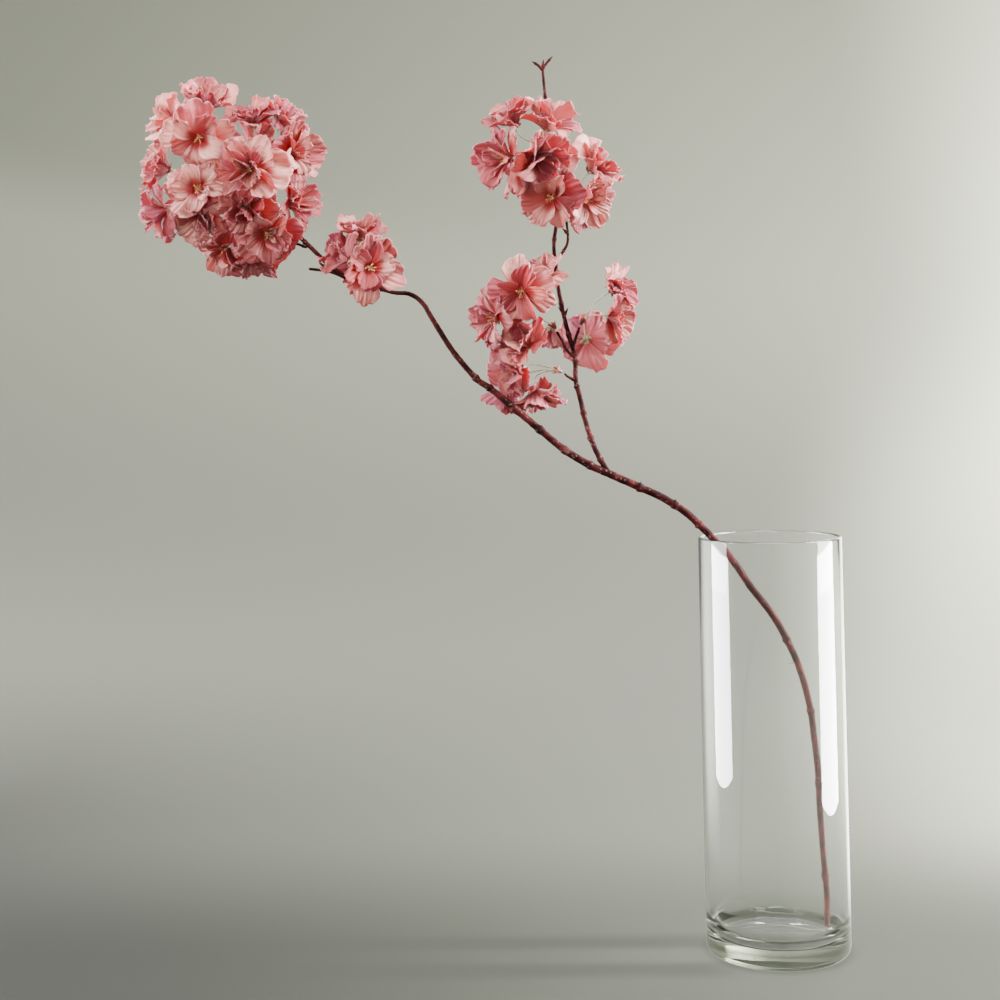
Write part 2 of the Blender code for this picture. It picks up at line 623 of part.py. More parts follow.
def make_wire(bloom):
    """One wire with its calyx, its neck through the hub, its boss, five points of stamen and a pistil."""
    path = bloom.wire_path()
    points = []
    for i, centre in enumerate(path):
        points += ring_about(bloom, path, i, centre)
    above = HUB_HEIGHT + GAP
    levels = ((-CALYX_SHOULDER, 0.62 * CALYX_RADIUS), (-GAP, CALYX_RADIUS), (-GAP, NECK_RADIUS),
              (above, NECK_RADIUS), (above, BOSS_RADIUS), (BOSS_TOP, 0.5 * BOSS_RADIUS))
    for height, radius in levels:
        points += ring_points(bloom, radius, height, WIRE_SIDES, 0)
    rings = len(path) + len(levels)
    faces = [tuple(range(WIRE_SIDES))]
    for ring in range(rings - 1):
        low, high = ring * WIRE_SIDES, (ring + 1) * WIRE_SIDES
        for k in range(WIRE_SIDES):
            after = (k + 1) % WIRE_SIDES
            corners = (low + k, low + after, high + after, high + k)
            if ring < rings - 2:
                faces.append(corners)
                continue
            turn = 2 * math.pi * (k + 0.5) / WIRE_SIDES
            out = (STAMEN_SPREAD * math.cos(turn), STAMEN_SPREAD * math.sin(turn))
            tip = len(points)
            points.append(bloom.place(*out, STAMEN_REACH))
            faces += [(corners[i], corners[(i + 1) % 4], tip) for i in range(4)]
    pistil = len(points)
    points.append(bloom.place(0, 0, PISTIL_REACH))
    last = (rings - 1) * WIRE_SIDES
    faces += [(last + k, last + (k + 1) % WIRE_SIDES, pistil) for k in range(WIRE_SIDES)]
    return add_object("wire_" + bloom.name, points, faces, WIRE)


def ring_about(bloom, path, i, centre):
    """The corners of the wire where it passes a point, lined up with the bloom's own directions."""
    ahead = (path[min(i + 1, len(path) - 1)] - path[max(i - 1, 0)]).normalized()
    swing = bloom.axis.rotation_difference(ahead)
    side, across = swing @ bloom.east, swing @ bloom.north
    corners = []
    for k in range(WIRE_SIDES):
        turn = 2 * math.pi * k / WIRE_SIDES
        corners.append(centre + (side * math.cos(turn) + across * math.sin(turn)) * WIRE_RADIUS)
    return corners


def make_spray(name, blooms):
    """The knob at the twig's tip and every wire that grows out of it, as one body."""
    start, way = (Vector(v) for v in SPRAYS[name])
    along = way.normalized() * KNOB_LENGTH
    points, faces = tube([start - along * 0.3, start + along * 0.2, start + along * 0.7],
                         [0.75 * KNOB_RADIUS, KNOB_RADIUS, 0.5 * KNOB_RADIUS], KNOB_SIDES)
    pieces = [add_object("knob", points, faces, WIRE)]
    pieces += [make_wire(bloom) for bloom in blooms if bloom.spray == name]
    return join_all("spray_" + name, pieces)


def main():
    clear_scene()
    blooms = [Bloom(i, row) for i, row in enumerate(BLOOMS)]
    set_cells(blooms)
    make_vase()
    make_branch()
    for name in SPRAYS:
        make_spray(name, blooms)
    for bloom in blooms:
        make_bloom(bloom)


main()
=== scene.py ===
# %% [markdown]
# # A silk cherry blossom sprig in a glass cylinder vase
#
# A florist's silk sprig is made of few kinds of things: a stem of plastic moulded over steel wire, bunches
# of thin coated wires, blooms of stacked silk petals, and here the glass vase that it stands in. The fixed
# frame holds the same sprig as plain solids of the right size. Each step below makes one kind of thing in
# full detail and lays it over its plain solids, which then aren't shown.

import json
import math
import random

import bmesh
import bpy
import numpy as np
from mathutils import Matrix, Vector

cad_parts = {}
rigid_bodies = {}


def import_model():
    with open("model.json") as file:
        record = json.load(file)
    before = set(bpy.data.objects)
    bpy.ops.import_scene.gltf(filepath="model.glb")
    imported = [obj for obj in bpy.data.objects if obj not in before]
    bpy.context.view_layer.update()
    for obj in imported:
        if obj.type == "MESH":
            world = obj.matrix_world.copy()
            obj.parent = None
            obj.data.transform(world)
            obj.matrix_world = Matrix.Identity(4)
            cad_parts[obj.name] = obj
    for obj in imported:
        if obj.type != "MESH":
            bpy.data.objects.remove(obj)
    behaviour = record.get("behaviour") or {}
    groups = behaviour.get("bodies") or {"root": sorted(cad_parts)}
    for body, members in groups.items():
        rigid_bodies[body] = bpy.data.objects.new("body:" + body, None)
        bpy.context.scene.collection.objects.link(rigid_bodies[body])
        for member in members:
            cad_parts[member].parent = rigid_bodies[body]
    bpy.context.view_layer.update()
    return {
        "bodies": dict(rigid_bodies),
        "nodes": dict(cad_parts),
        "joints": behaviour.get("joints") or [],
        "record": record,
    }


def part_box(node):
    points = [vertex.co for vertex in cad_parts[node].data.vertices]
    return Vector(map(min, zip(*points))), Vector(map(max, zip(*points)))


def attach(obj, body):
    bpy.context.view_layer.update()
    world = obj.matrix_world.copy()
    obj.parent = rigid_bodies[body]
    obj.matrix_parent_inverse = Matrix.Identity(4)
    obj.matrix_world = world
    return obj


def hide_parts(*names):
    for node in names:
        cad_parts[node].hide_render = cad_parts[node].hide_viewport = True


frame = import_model()

# %% [markdown]
# ## Node trees written as Python
#
# Materials and Geometry Nodes are both node trees. Drawing them by hand takes long, and code that makes
# every node and link by name is hard to read. So one small class stands for a node's output and overloads
# Python's operators: an expression such as `1 - mask * 0.5` adds its Math nodes by itself. Every other
# node comes from `Tree.add`, which takes its type, its settings and what goes into its sockets.

# %% Values
class Value:
    """One output of a node. Operators on it add Math nodes to its tree."""

    def __init__(self, tree, socket):
        self.tree, self.socket = tree, socket

    def __add__(self, other):
        return self.tree.maths("ADD", self, other)

    def __sub__(self, other):
        return self.tree.maths("SUBTRACT", self, other)

    def __rsub__(self, other):
        return self.tree.maths("SUBTRACT", other, self)

    def __mul__(self, other):
        return self.tree.maths("MULTIPLY", self, other)

    def __truediv__(self, other):
        return self.tree.maths("DIVIDE", self, other)

    def __pow__(self, other):
        return self.tree.maths("POWER", self, other)

    __radd__, __rmul__ = __add__, __mul__

    def sine(self):
        return self.tree.maths("SINE", self)

    def cosine(self):
        return self.tree.maths("COSINE", self)

    def size(self):
        return self.tree.maths("ABSOLUTE", self)

    def rise(self, low, high):
        """0 below low, 1 above high and smooth between them."""
        return self.tree.add("ShaderNodeMapRange", {"interpolation_type": "SMOOTHSTEP"},
                             {"Value": self, "From Min": low, "From Max": high})


# %% [markdown]
# The tree itself knows how to add any node, and the few that nearly every material asks for have a method
# of their own: mixing two colours, noise, a place on the object, a fine relief and the main shader.

# %% Trees
class Tree:
    """A node tree being made."""

    def __init__(self, nodes):
        self.nodes = nodes

    def add(self, kind, settings=None, sockets=None, out=0):
        """Adds a node, sets it, fills its sockets with values or links, and returns one of its outputs."""
        node = self.nodes.nodes.new(kind)
        for name, value in (settings or {}).items():
            setattr(node, name, value)
        for key, value in (sockets or {}).items():
            named = isinstance(key, str)
            socket = node.inputs[key] if not named else next(
                s for s in node.inputs if s.name == key and s.enabled)
            if isinstance(value, Value):
                self.nodes.links.new(value.socket, socket)
            else:
                socket.default_value = value
        if not node.outputs:
            return None
        if isinstance(out, str):
            return Value(self, next(s for s in node.outputs if s.name == out and s.enabled))
        return Value(self, node.outputs[out])

    def maths(self, operation, *terms):
        return self.add("ShaderNodeMath", {"operation": operation}, dict(enumerate(terms)))

    def vector(self, operation, *terms, **named):
        sockets = {**dict(enumerate(terms)), **named}
        return self.add("ShaderNodeVectorMath", {"operation": operation}, sockets)

    def join(self, x, y, z=0.0):
        return self.add("ShaderNodeCombineXYZ", None, {0: x, 1: y, 2: z})

    def split(self, vector):
        parts = self.add("ShaderNodeSeparateXYZ", None, {0: vector}).socket.node
        return [Value(self, socket) for socket in parts.outputs]

    def mix(self, share, first, second):
        """One colour turning into another."""
        return self.add("ShaderNodeMix", {"data_type": "RGBA"},
                        {"Factor": share, "A": first, "B": second}, "Result")

    def noise(self, where, scale, detail=2.0):
        return self.add("ShaderNodeTexNoise", None, {"Vector": where, "Scale": scale, "Detail": detail})

    def place(self):
        """Where a point of the surface is, in metres from the object's origin."""
        return self.add("ShaderNodeTexCoord", None, None, "Object")

    def relief(self, height, strength, distance):
        """A fine relief that only bends the light."""
        return self.add("ShaderNodeBump", None, {
            "Strength": strength, "Distance": distance, "Height": height})

    def surface(self, paint, roughness, **more):
        """Blender's all-round shader, with the names of further sockets written with underscores."""
        sockets = {"Base Color": paint, "Roughness": roughness}
        sockets.update((name.replace("_", " "), value) for name, value in more.items())
        return self.add("ShaderNodeBsdfPrincipled", None, sockets)


# %% [markdown]
# A material starts with an empty tree. A function adds the shader and hands back its output, so each
# finish further down is one short function.

# %% Materials
def colour(red, green, blue):
    return (red, green, blue, 1.0)


BLACK = colour(0.0, 0.0, 0.0)


def material(name, surface):
    """A material whose shader is what the function surface adds to its tree."""
    made = bpy.data.materials.new(name)
    made.use_nodes = True
    made.node_tree.nodes.clear()
    tree = Tree(made.node_tree)
    tree.add("ShaderNodeOutputMaterial", None, {"Surface": surface(tree)})
    return made


# %% [markdown]
# ## Growing plain meshes with Geometry Nodes
#
# A tree gets named inputs, so that its sizes can be read and changed from outside. `grow` runs it on a
# base object, turns the result into a plain mesh and takes the modifier away, because what is handed on
# has to be real geometry.

# %% Making and running a Geometry Nodes tree
SOCKET_KINDS = {float: "NodeSocketFloat", int: "NodeSocketInt", bpy.types.Material: "NodeSocketMaterial"}


def geometry_tree(name, inputs, body):
    """A Geometry Nodes tree. inputs maps names to kinds, and body turns geometry and inputs into geometry."""
    group = bpy.data.node_groups.new(name, "GeometryNodeTree")
    group.interface.new_socket("Geometry", in_out="INPUT", socket_type="NodeSocketGeometry")
    for label, kind in inputs.items():
        group.interface.new_socket(label, in_out="INPUT", socket_type=SOCKET_KINDS[kind])
    group.interface.new_socket("Geometry", in_out="OUTPUT", socket_type="NodeSocketGeometry")
    tree = Tree(group)
    source = group.nodes.new("NodeGroupInput")
    given = {label: Value(tree, source.outputs[label]) for label in inputs}
    made = body(tree, Value(tree, source.outputs["Geometry"]), given)
    tree.add("NodeGroupOutput", None, {"Geometry": made})
    return group


def shown(name, data):
    """An object at the origin for a mesh, a light or a camera."""
    made = bpy.data.objects.new(name, data)
    bpy.context.scene.collection.objects.link(made)
    return made


def settled(piece):
    """The piece with its modifiers worked into its mesh, and without an empty first material slot."""
    graph = bpy.context.evaluated_depsgraph_get()
    mesh = bpy.data.meshes.new_from_object(piece.evaluated_get(graph))
    if len(mesh.materials) > 1 and mesh.materials[0] is None:
        mesh.materials.pop(index=0)
    piece.modifiers.clear()
    piece.data = mesh
    return piece


def grow(name, group, base, settings):
    """The plain mesh object that a tree grows from a base mesh, with its inputs set by name."""
    piece = shown(name, base)
    modifier = piece.modifiers.new("Grow", "NODES")
    modifier.node_group = group
    for item in group.interface.items_tree:
        if item.in_out == "INPUT" and item.name in settings:
            modifier[item.identifier] = settings[item.name]
    return settled(piece)


def seedling(name, points, edges=(), **numbers):
    """A base mesh for a tree: bare points or lines, each point with its own named numbers."""
    mesh = bpy.data.meshes.new(name)
    mesh.from_pydata([tuple(p) for p in points], list(edges), [])
    for label, values in numbers.items():
        kind = "FLOAT_VECTOR" if np.ndim(values) == 2 else "FLOAT"
        field = "vector" if kind == "FLOAT_VECTOR" else "value"
        layer = mesh.attributes.new(label, kind, "POINT")
        layer.data.foreach_set(field, np.asarray(values, np.float32).ravel())
    return mesh


def told(tree, name, kind="FLOAT"):
    """In a Geometry Nodes tree, the number or vector that the base's points carry under a name."""
    return tree.add("GeometryNodeInputNamedAttribute", {"data_type": kind}, {"Name": name}, "Attribute")


def count(piece):
    return sum(len(face.vertices) - 2 for face in piece.data.polygons)


def dress(piece, slot, *nodes):
    """Fastens a finished piece to the frame in place of the plain solids that it stands for."""
    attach(piece, "root")
    if nodes:
        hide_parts(*nodes)


# %% [markdown]
# ## The plan of the sprig
#
# A route is a short list of points that a stem follows. The blooms are a table too: where the heart of each
# one is, the way it faces, how long its petals are and how wide it has opened. These are the same numbers
# that the frame's solids were made from, so that the fine pieces fall in place.

# %% Routes of the wood
STEM_ROUTE = (
    (0.043, 0.008, 0.0165), (0.043, 0.007, 0.043), (0.040, 0.005, 0.083), (0.038, 0.003, 0.118),
    (0.037, 0.002, 0.148), (0.034, 0.000, 0.175), (0.032, -0.001, 0.194), (0.028, -0.003, 0.214),
    (0.021, -0.004, 0.238), (0.012, -0.006, 0.258), (-0.001, -0.009, 0.280), (-0.018, -0.011, 0.302),
    (-0.032, -0.014, 0.323), (-0.0495, -0.017, 0.345), (-0.061, -0.018, 0.357), (-0.074, -0.019, 0.369),
    (-0.093, -0.020, 0.381), (-0.110, -0.021, 0.389), (-0.136, -0.022, 0.401), (-0.151, -0.022, 0.408),
    (-0.172, -0.022, 0.421), (-0.192, -0.022, 0.438), (-0.220, -0.022, 0.462), (-0.234, -0.021, 0.474),
    (-0.245, -0.020, 0.482), (-0.264, -0.019, 0.505), (-0.280, -0.017, 0.531), (-0.289, -0.016, 0.546),
    (-0.300, -0.015, 0.554), (-0.315, -0.014, 0.556), (-0.347, -0.012, 0.566), (-0.366, -0.010, 0.574),
    (-0.384, -0.008, 0.577),
)
STEM_KNOTS = (1.4, 3.6, 6.2, 9.0, 14.0, 15.4, 17.0, 19.0, 20.0, 21.0, 21.7, 23.0, 24.0)
CROWN_ROUTE = (
    (-0.347, -0.012, 0.566), (-0.363, -0.010, 0.576), (-0.373, -0.008, 0.585), (-0.387, -0.004, 0.599),
    (-0.397, -0.002, 0.608), (-0.412, 0.001, 0.618), (-0.429, 0.003, 0.631), (-0.444, 0.004, 0.646),
    (-0.457, 0.004, 0.662), (-0.467, 0.003, 0.679), (-0.473, 0.001, 0.691),
)
SIDE_ROUTE = (
    (-0.136, -0.022, 0.401), (-0.146, -0.018, 0.420), (-0.153, -0.012, 0.441), (-0.158, -0.006, 0.465),
    (-0.161, -0.001, 0.479), (-0.161, 0.003, 0.497), (-0.164, 0.005, 0.510), (-0.169, 0.007, 0.531),
    (-0.174, 0.009, 0.558), (-0.177, 0.010, 0.591), (-0.175, 0.011, 0.610), (-0.171, 0.011, 0.625),
    (-0.166, 0.012, 0.650), (-0.165, 0.012, 0.670), (-0.174, 0.013, 0.701), (-0.181, 0.014, 0.717),
    (-0.184, 0.014, 0.749),
)
TWIG_ROUTES = (
    ((-0.364, -0.010, 0.573), (-0.371, -0.010, 0.578), (-0.375, -0.011, 0.5815)),
    ((-0.386, -0.004, 0.598), (-0.388, -0.005, 0.596), (-0.393, -0.007, 0.598), (-0.398, -0.009, 0.599)),
    ((-0.444, 0.004, 0.646), (-0.454, 0.005, 0.641), (-0.466, 0.004, 0.639)),
    ((-0.347, -0.012, 0.566), (-0.348, -0.010, 0.573)),
    ((-0.175, 0.010, 0.581), (-0.171, 0.008, 0.587), (-0.166, 0.006, 0.595), (-0.165, 0.005, 0.604),
     (-0.166, 0.003, 0.617), (-0.162, 0.001, 0.630), (-0.159, 0.000, 0.637)),
    ((-0.165, 0.005, 0.604), (-0.170, 0.003, 0.609)),
    ((-0.161, 0.003, 0.498), (-0.168, 0.001, 0.505), (-0.172, -0.001, 0.513), (-0.176, -0.002, 0.520)),
    ((-0.161, -0.001, 0.479), (-0.167, -0.003, 0.482), (-0.170, -0.004, 0.4845)),
    ((-0.163, 0.004, 0.507), (-0.159, 0.005, 0.518), (-0.157, 0.0055, 0.5235)),
    ((-0.171, 0.0075, 0.538), (-0.1745, 0.006, 0.542)),
    ((-0.170, 0.007, 0.533), (-0.166, 0.007, 0.541)),
    ((-0.164, 0.012, 0.664), (-0.168, 0.010, 0.672)),
    ((-0.184, 0.014, 0.747), (-0.188, 0.013, 0.751), (-0.193, 0.012, 0.754)),
    ((-0.184, 0.014, 0.747), (-0.183, 0.015, 0.756)),
    ((-0.184, 0.014, 0.747), (-0.180, 0.015, 0.753), (-0.175, 0.016, 0.759)),
)

# %% [markdown]
# A spray starts at a knob on the wood, so it has a place and the way that its wires leave. The blooms are
# placed one by one, because where they hang is what makes a sprig look grown and not counted out.

# %% Sprays and blooms
SPRAYS = {
    "crown_a": ((-0.409, 0.006, 0.6215), (0.3, 0.5, 0.8)),
    "crown_b": ((-0.4325, 0.000, 0.628), (-0.5, -0.5, -0.7)),
    "crown_c": ((-0.441, 0.000, 0.649), (0.5, -0.7, 0.5)),
    "crown_d": ((-0.453, 0.004, 0.6655), (0.7, 0.2, 0.7)),
    "crown_e": ((-0.4745, 0.000, 0.695), (-0.3, -0.1, 0.95)),
    "crown_f": ((-0.470, 0.0035, 0.6385), (-1.0, -0.1, -0.1)),
    "middle_a": ((-0.3485, -0.009, 0.577), (-0.1, 0.2, 0.97)),
    "top_a": ((-0.157, 0.000, 0.641), (0.4, -0.1, 0.9)),
    "top_b": ((-0.170, 0.0085, 0.6755), (-0.5, -0.4, 0.75)),
    "side_a": ((-0.178, 0.0045, 0.5445), (-0.7, -0.3, 0.5)),
    "side_b": ((-0.178, -0.003, 0.5245), (-0.5, -0.3, 0.8)),
    "side_c": ((-0.174, -0.0055, 0.487), (-0.85, -0.3, 0.4)),
    "right_a": ((-0.155, 0.006, 0.528), (0.4, 0.1, 0.9)),
}

# Blooms: name, spray, heart of the bowl, the way it faces, petal length and how wide open it is.
BLOOMS = (
    ("crown_01", "crown_e", (-0.468, -0.014, 0.720), (0.15, -0.50, 0.85), 0.031, 0.6),
    ("crown_02", "crown_e", (-0.503, -0.006, 0.708), (-0.65, -0.40, 0.62), 0.030, 0.8),
    ("crown_03", "crown_e", (-0.472, -0.040, 0.684), (-0.10, -0.90, -0.42), 0.032, 0.9),
    ("crown_04", "crown_d", (-0.431, -0.012, 0.706), (-0.15, -0.45, 0.85), 0.029, 0.7),
    ("crown_05", "crown_d", (-0.407, 0.002, 0.707), (0.40, -0.35, 0.82), 0.029, 0.6),
    ("crown_06", "crown_d", (-0.394, -0.008, 0.676), (0.78, -0.55, 0.10), 0.031, 0.7),
    ("crown_07", "crown_c", (-0.430, -0.048, 0.657), (-0.05, -0.98, -0.15), 0.035, 1.0),
    ("crown_08", "crown_f", (-0.509, -0.010, 0.665), (-0.85, -0.48, 0.15), 0.029, 0.7),
    ("crown_09", "crown_c", (-0.472, -0.042, 0.643), (0.05, -0.97, 0.05), 0.031, 0.9),
    ("crown_10", "crown_f", (-0.511, -0.012, 0.626), (-0.80, -0.45, -0.35), 0.030, 0.8),
    ("crown_11", "crown_f", (-0.473, -0.026, 0.619), (-0.10, -0.60, -0.78), 0.029, 0.7),
    ("crown_12", "crown_b", (-0.434, -0.036, 0.623), (0.00, -0.75, -0.66), 0.030, 0.8),
    ("crown_13", "crown_a", (-0.395, -0.006, 0.634), (0.85, -0.45, 0.15), 0.030, 0.7),
    ("crown_14", "crown_b", (-0.416, -0.028, 0.604), (0.20, -0.90, -0.35), 0.032, 0.9),
    ("crown_15", "crown_b", (-0.456, -0.010, 0.592), (-0.40, -0.60, -0.68), 0.031, 0.8),
    ("crown_16", "crown_b", (-0.430, -0.004, 0.584), (0.25, -0.35, -0.88), 0.028, 0.7),
    ("crown_17", "crown_e", (-0.496, 0.034, 0.703), (-0.40, 0.75, 0.50), 0.030, 0.8),
    ("crown_18", "crown_d", (-0.436, 0.038, 0.694), (0.30, 0.85, 0.35), 0.030, 0.8),
    ("crown_19", "crown_f", (-0.492, 0.034, 0.638), (-0.50, 0.80, -0.25), 0.030, 0.8),
    ("crown_20", "crown_a", (-0.436, 0.036, 0.628), (0.40, 0.80, -0.35), 0.030, 0.8),
    ("middle_1", "middle_a", (-0.330, -0.040, 0.575), (0.35, -0.92, -0.12), 0.031, 0.8),
    ("middle_2", "middle_a", (-0.357, -0.018, 0.588), (-0.75, -0.30, 0.45), 0.030, 0.7),
    ("middle_3", "middle_a", (-0.340, -0.010, 0.609), (0.15, -0.25, 0.95), 0.030, 0.6),
    ("middle_4", "middle_a", (-0.342, 0.016, 0.584), (0.10, 0.90, 0.20), 0.029, 0.8),
    ("top_1", "top_b", (-0.220, -0.008, 0.668), (-0.85, -0.45, -0.10), 0.031, 0.8),
    ("top_2", "top_b", (-0.191, -0.032, 0.663), (0.35, -0.75, -0.50), 0.032, 0.6),
    ("top_3", "top_b", (-0.180, -0.006, 0.699), (0.35, -0.45, 0.82), 0.029, 0.6),
    ("top_4", "top_b", (-0.211, -0.002, 0.703), (-0.35, -0.35, 0.87), 0.028, 0.6),
    ("top_5", "top_a", (-0.181, -0.030, 0.631), (-0.30, -0.92, -0.25), 0.032, 0.9),
    ("top_6", "top_a", (-0.147, -0.014, 0.631), (0.65, -0.65, -0.40), 0.030, 0.7),
    ("top_7", "top_a", (-0.141, -0.004, 0.662), (0.62, -0.35, 0.70), 0.028, 0.7),
    ("top_8", "top_b", (-0.187, 0.032, 0.667), (-0.10, 0.95, 0.10), 0.030, 0.8),
    ("side_1", "side_a", (-0.189, -0.008, 0.569), (-0.05, -0.50, 0.86), 0.028, 0.6),
    ("side_2", "side_a", (-0.207, -0.030, 0.553), (-0.20, -0.93, -0.25), 0.031, 0.9),
    ("side_3", "side_b", (-0.233, -0.014, 0.533), (-0.88, -0.42, 0.05), 0.032, 0.8),
    ("side_4", "side_b", (-0.205, -0.020, 0.512), (-0.55, -0.65, 0.45), 0.030, 0.7),
    ("side_5", "side_b", (-0.183, 0.006, 0.518), (-0.20, 0.30, -0.90), 0.022, 0.6),
    ("side_6", "side_c", (-0.213, -0.014, 0.488), (-0.75, -0.50, -0.30), 0.028, 0.7),
    ("side_7", "side_c", (-0.195, -0.002, 0.466), (0.15, -0.30, -0.93), 0.029, 0.8),
    ("side_8", "side_c", (-0.221, 0.010, 0.470), (-0.50, 0.60, -0.60), 0.025, 0.7),
    ("right_1", "right_a", (-0.124, -0.004, 0.558), (0.75, -0.45, 0.45), 0.029, 0.7),
    ("right_2", "right_a", (-0.125, -0.008, 0.531), (0.85, -0.45, -0.20), 0.030, 0.7),
    ("right_3", "right_a", (-0.150, 0.018, 0.512), (0.15, 0.93, -0.30), 0.030, 0.9),
)
print("sprays:", len(SPRAYS), "blooms:", len(BLOOMS))

# %% [markdown]
# ## The camera
#
# The camera stands level with the blooms and looks up by two degrees. It is shifted down and not tilted
# down, which is what keeps the sides of the glass nearly upright, and it is held about a degree out of
# level.

# %% Camera
CAMERA_PLACE = (-0.2244, -1.421, 0.4733)
CAMERA_PITCH = math.radians(92)
CAMERA_ROLL = math.radians(-0.99)
lens = bpy.data.cameras.new("studio_camera")
lens.lens = 60.34
lens.shift_y = -0.17
camera = shown("studio_camera", lens)
camera.matrix_world = (Matrix.Translation(CAMERA_PLACE) @ Matrix.Rotation(CAMERA_PITCH, 4, "X")
                       @ Matrix.Rotation(CAMERA_ROLL, 4, "Z"))
bpy.context.scene.camera = camera

# %% [markdown]
# ## The studio
#
# The floor sweeps up into a wall all round, like the inside of a wide bowl, so that no edge shows from any
# side. Its paint is a soft grey green, with painted shade that deepens it in front and on the left, painted
# light that makes it paler to the right and the vase's shadow painted in. Clear glass has no look of its
# own: it shows what stands around it. So a second, unseen wall behind the first one holds what the glass
# mirrors, and two tall softboxes, left and right of the vase, make the bright upright stripes in its wall.
# Two low strips under them draw the stripes out further down, and only glass shows those: their light dies
# once it has been scattered, so cloth and paint never get it. A large softbox above, a small key from the
# front left and a low fill light the petals, and one more brightens the wall on the right.

# %% Spinning a profile
def lathe(profile, segments):
    """Points and faces of a profile of radius and height spun round +Z. A radius of zero is one point."""
    points, faces, rings = [], [], []
    for radius, height in profile:
        ring = segments if radius > 0 else 1
        rings.append([len(points) + k % ring for k in range(segments)])
        for k in range(ring):
            turn = 2 * math.pi * k / segments
            points.append((radius * math.cos(turn), radius * math.sin(turn), height))
    for low, high in zip(rings, rings[1:]):
        for k in range(segments):
            after = (k + 1) % segments
            faces.append(tuple(dict.fromkeys((low[k], low[after], high[after], high[k]))))
    return points, faces


def arc(centre, radius, start, end, steps):
    """Points of an arc in a profile, from one angle in degrees to another."""
    turns = np.radians(np.linspace(start, end, steps + 1))
    return [(centre[0] + radius * math.cos(t), centre[1] + radius * math.sin(t)) for t in turns]


def solid(name, points, faces, look):
    """A smooth object from points and faces."""
    mesh = bpy.data.meshes.new(name)
    mesh.from_pydata([tuple(p) for p in points], [], [tuple(f) for f in faces])
    mesh.materials.append(look)
    mesh.shade_smooth()
    return shown(name, mesh)


# %% [markdown]
# The paint of floor and wall is mixed from where a point lies, and it holds painted shade, painted light
# and the vase's painted shadow. `back` grows from the front edge of the floor to the top of the wall, so
# that one number tells how far away and how high a point is.

# %% Paint of the stage
def painted_vase_shadow(x, y):
    """Painted shadow: glass only dims the floor under it, with two soft streaks away from the brighter side.
    """
    under = 1.0 - ((x * x + y * y) ** 0.5).rise(0.050, 0.068)
    off_centre = (y + x * 0.03 + 0.013).size()
    streaks = off_centre.rise(0.008, 0.028) * (1.0 - off_centre.rise(0.038, 0.064))
    fading = (x * -1.0).rise(0.02, 0.07) * (1.0 - (x * -1.0).rise(0.05, 0.50))
    return under * 0.70 + streaks * fading * 0.40


def stage_paint(tree):
    """Grey green, painted shade in front and on the left, painted light behind the vase and to the right."""
    x, y, z = tree.split(tree.place())
    back, right = y + z * 2.0, x.rise(-0.8, 0.6)
    # Painted shade: the front of the floor is deep, nearly black on the left.
    front_shade = tree.mix(right, colour(0.0027, 0.0034, 0.0015), colour(0.0581, 0.0626, 0.0469))
    # Painted light from the right on the middle of the floor: deeper on the left, paler to the right.
    middle = tree.mix(right ** 0.5, colour(0.0156, 0.0164, 0.0119), colour(0.0954, 0.0998, 0.0782))
    middle = tree.mix(x.rise(0.05, 0.50), middle, colour(0.2980, 0.3054, 0.2421))
    # Painted light on the far floor, paler towards the right.
    lit = (x - (back - 1.5) * 0.15).rise(0.15, 0.80)
    far = tree.mix(lit, colour(0.112, 0.115, 0.094), colour(0.446, 0.454, 0.364))
    # Painted light on the wall as well: paler towards the right.
    wall = tree.mix(x.rise(0.65, 1.35), colour(0.180, 0.186, 0.147), colour(0.410, 0.422, 0.328))
    paint = tree.mix(back.rise(0.0, 0.42), front_shade, middle)
    paint = tree.mix(back.rise(0.25, 1.6), paint, far)
    paint = tree.mix(back.rise(2.2, 4.5), paint, wall)
    # Painted shade: the top of the wall is darker on the left.
    paint = tree.mix(back.rise(4.3, 5.0) * (1.0 - x.rise(-2.2, 0.8)), paint, colour(0.1229, 0.1274, 0.0991))
    paint = tree.mix((y * -1.0).rise(1.5, 2.4), paint, colour(0.200, 0.206, 0.165))
    # The vase's painted shadow on the floor.
    paint = tree.mix(painted_vase_shadow(x, y), paint, BLACK)
    return tree.surface(paint, 0.9, Specular_IOR_Level=0.18)


def screen_glow(tree):
    """What the glass mirrors besides the softboxes: the wall, and a bright room behind on both sides."""
    x, y, z = tree.split(tree.place())
    glow = tree.mix(x.rise(-0.5, 2.0), colour(0.50, 0.52, 0.41), colour(1.50, 1.55, 1.25))
    behind = y.rise(0.8, 1.6)
    left = (1.0 - x.rise(-2.9, -1.2)) * behind * z.rise(-0.90, -0.50)
    right = x.rise(0.9, 1.2) * (1.0 - x.rise(2.1, 2.4)) * behind * z.rise(-1.1, -0.8)
    glow = tree.mix(left, glow, colour(8.0, 8.1, 7.8))
    glow = tree.mix(right, glow, colour(12.0, 12.1, 11.8))
    scattered = tree.add("ShaderNodeLightPath", None, None, "Diffuse Depth")
    glow = tree.mix(scattered.rise(0.0, 1.0), glow, BLACK)
    return tree.surface(BLACK, 1.0, Emission_Color=glow, Emission_Strength=1.0)


# %% [markdown]
# One profile makes floor, bend and wall. The screen that the glass mirrors is a plain drum round it, and it
# is hidden from the camera and from everything but reflections.

# %% Floor and wall in one sweep
STAGE_RADIUS = 3.4
STAGE_BEND = 2.3
STAGE_HEIGHT = 3.2
STAGE_SEGMENTS = 96
SCREEN_DEPTH = 3.0

sweep = [(0.0, 0.0), (0.5, 0.0)]
sweep += arc((STAGE_RADIUS - STAGE_BEND, STAGE_BEND), STAGE_BEND, -90, 0, 32)
sweep += [(STAGE_RADIUS, STAGE_HEIGHT)]
points, faces = lathe(sweep, STAGE_SEGMENTS)
floor = solid("studio_sweep", points, faces, material("stage_paint", stage_paint))
floor.visible_glossy = False

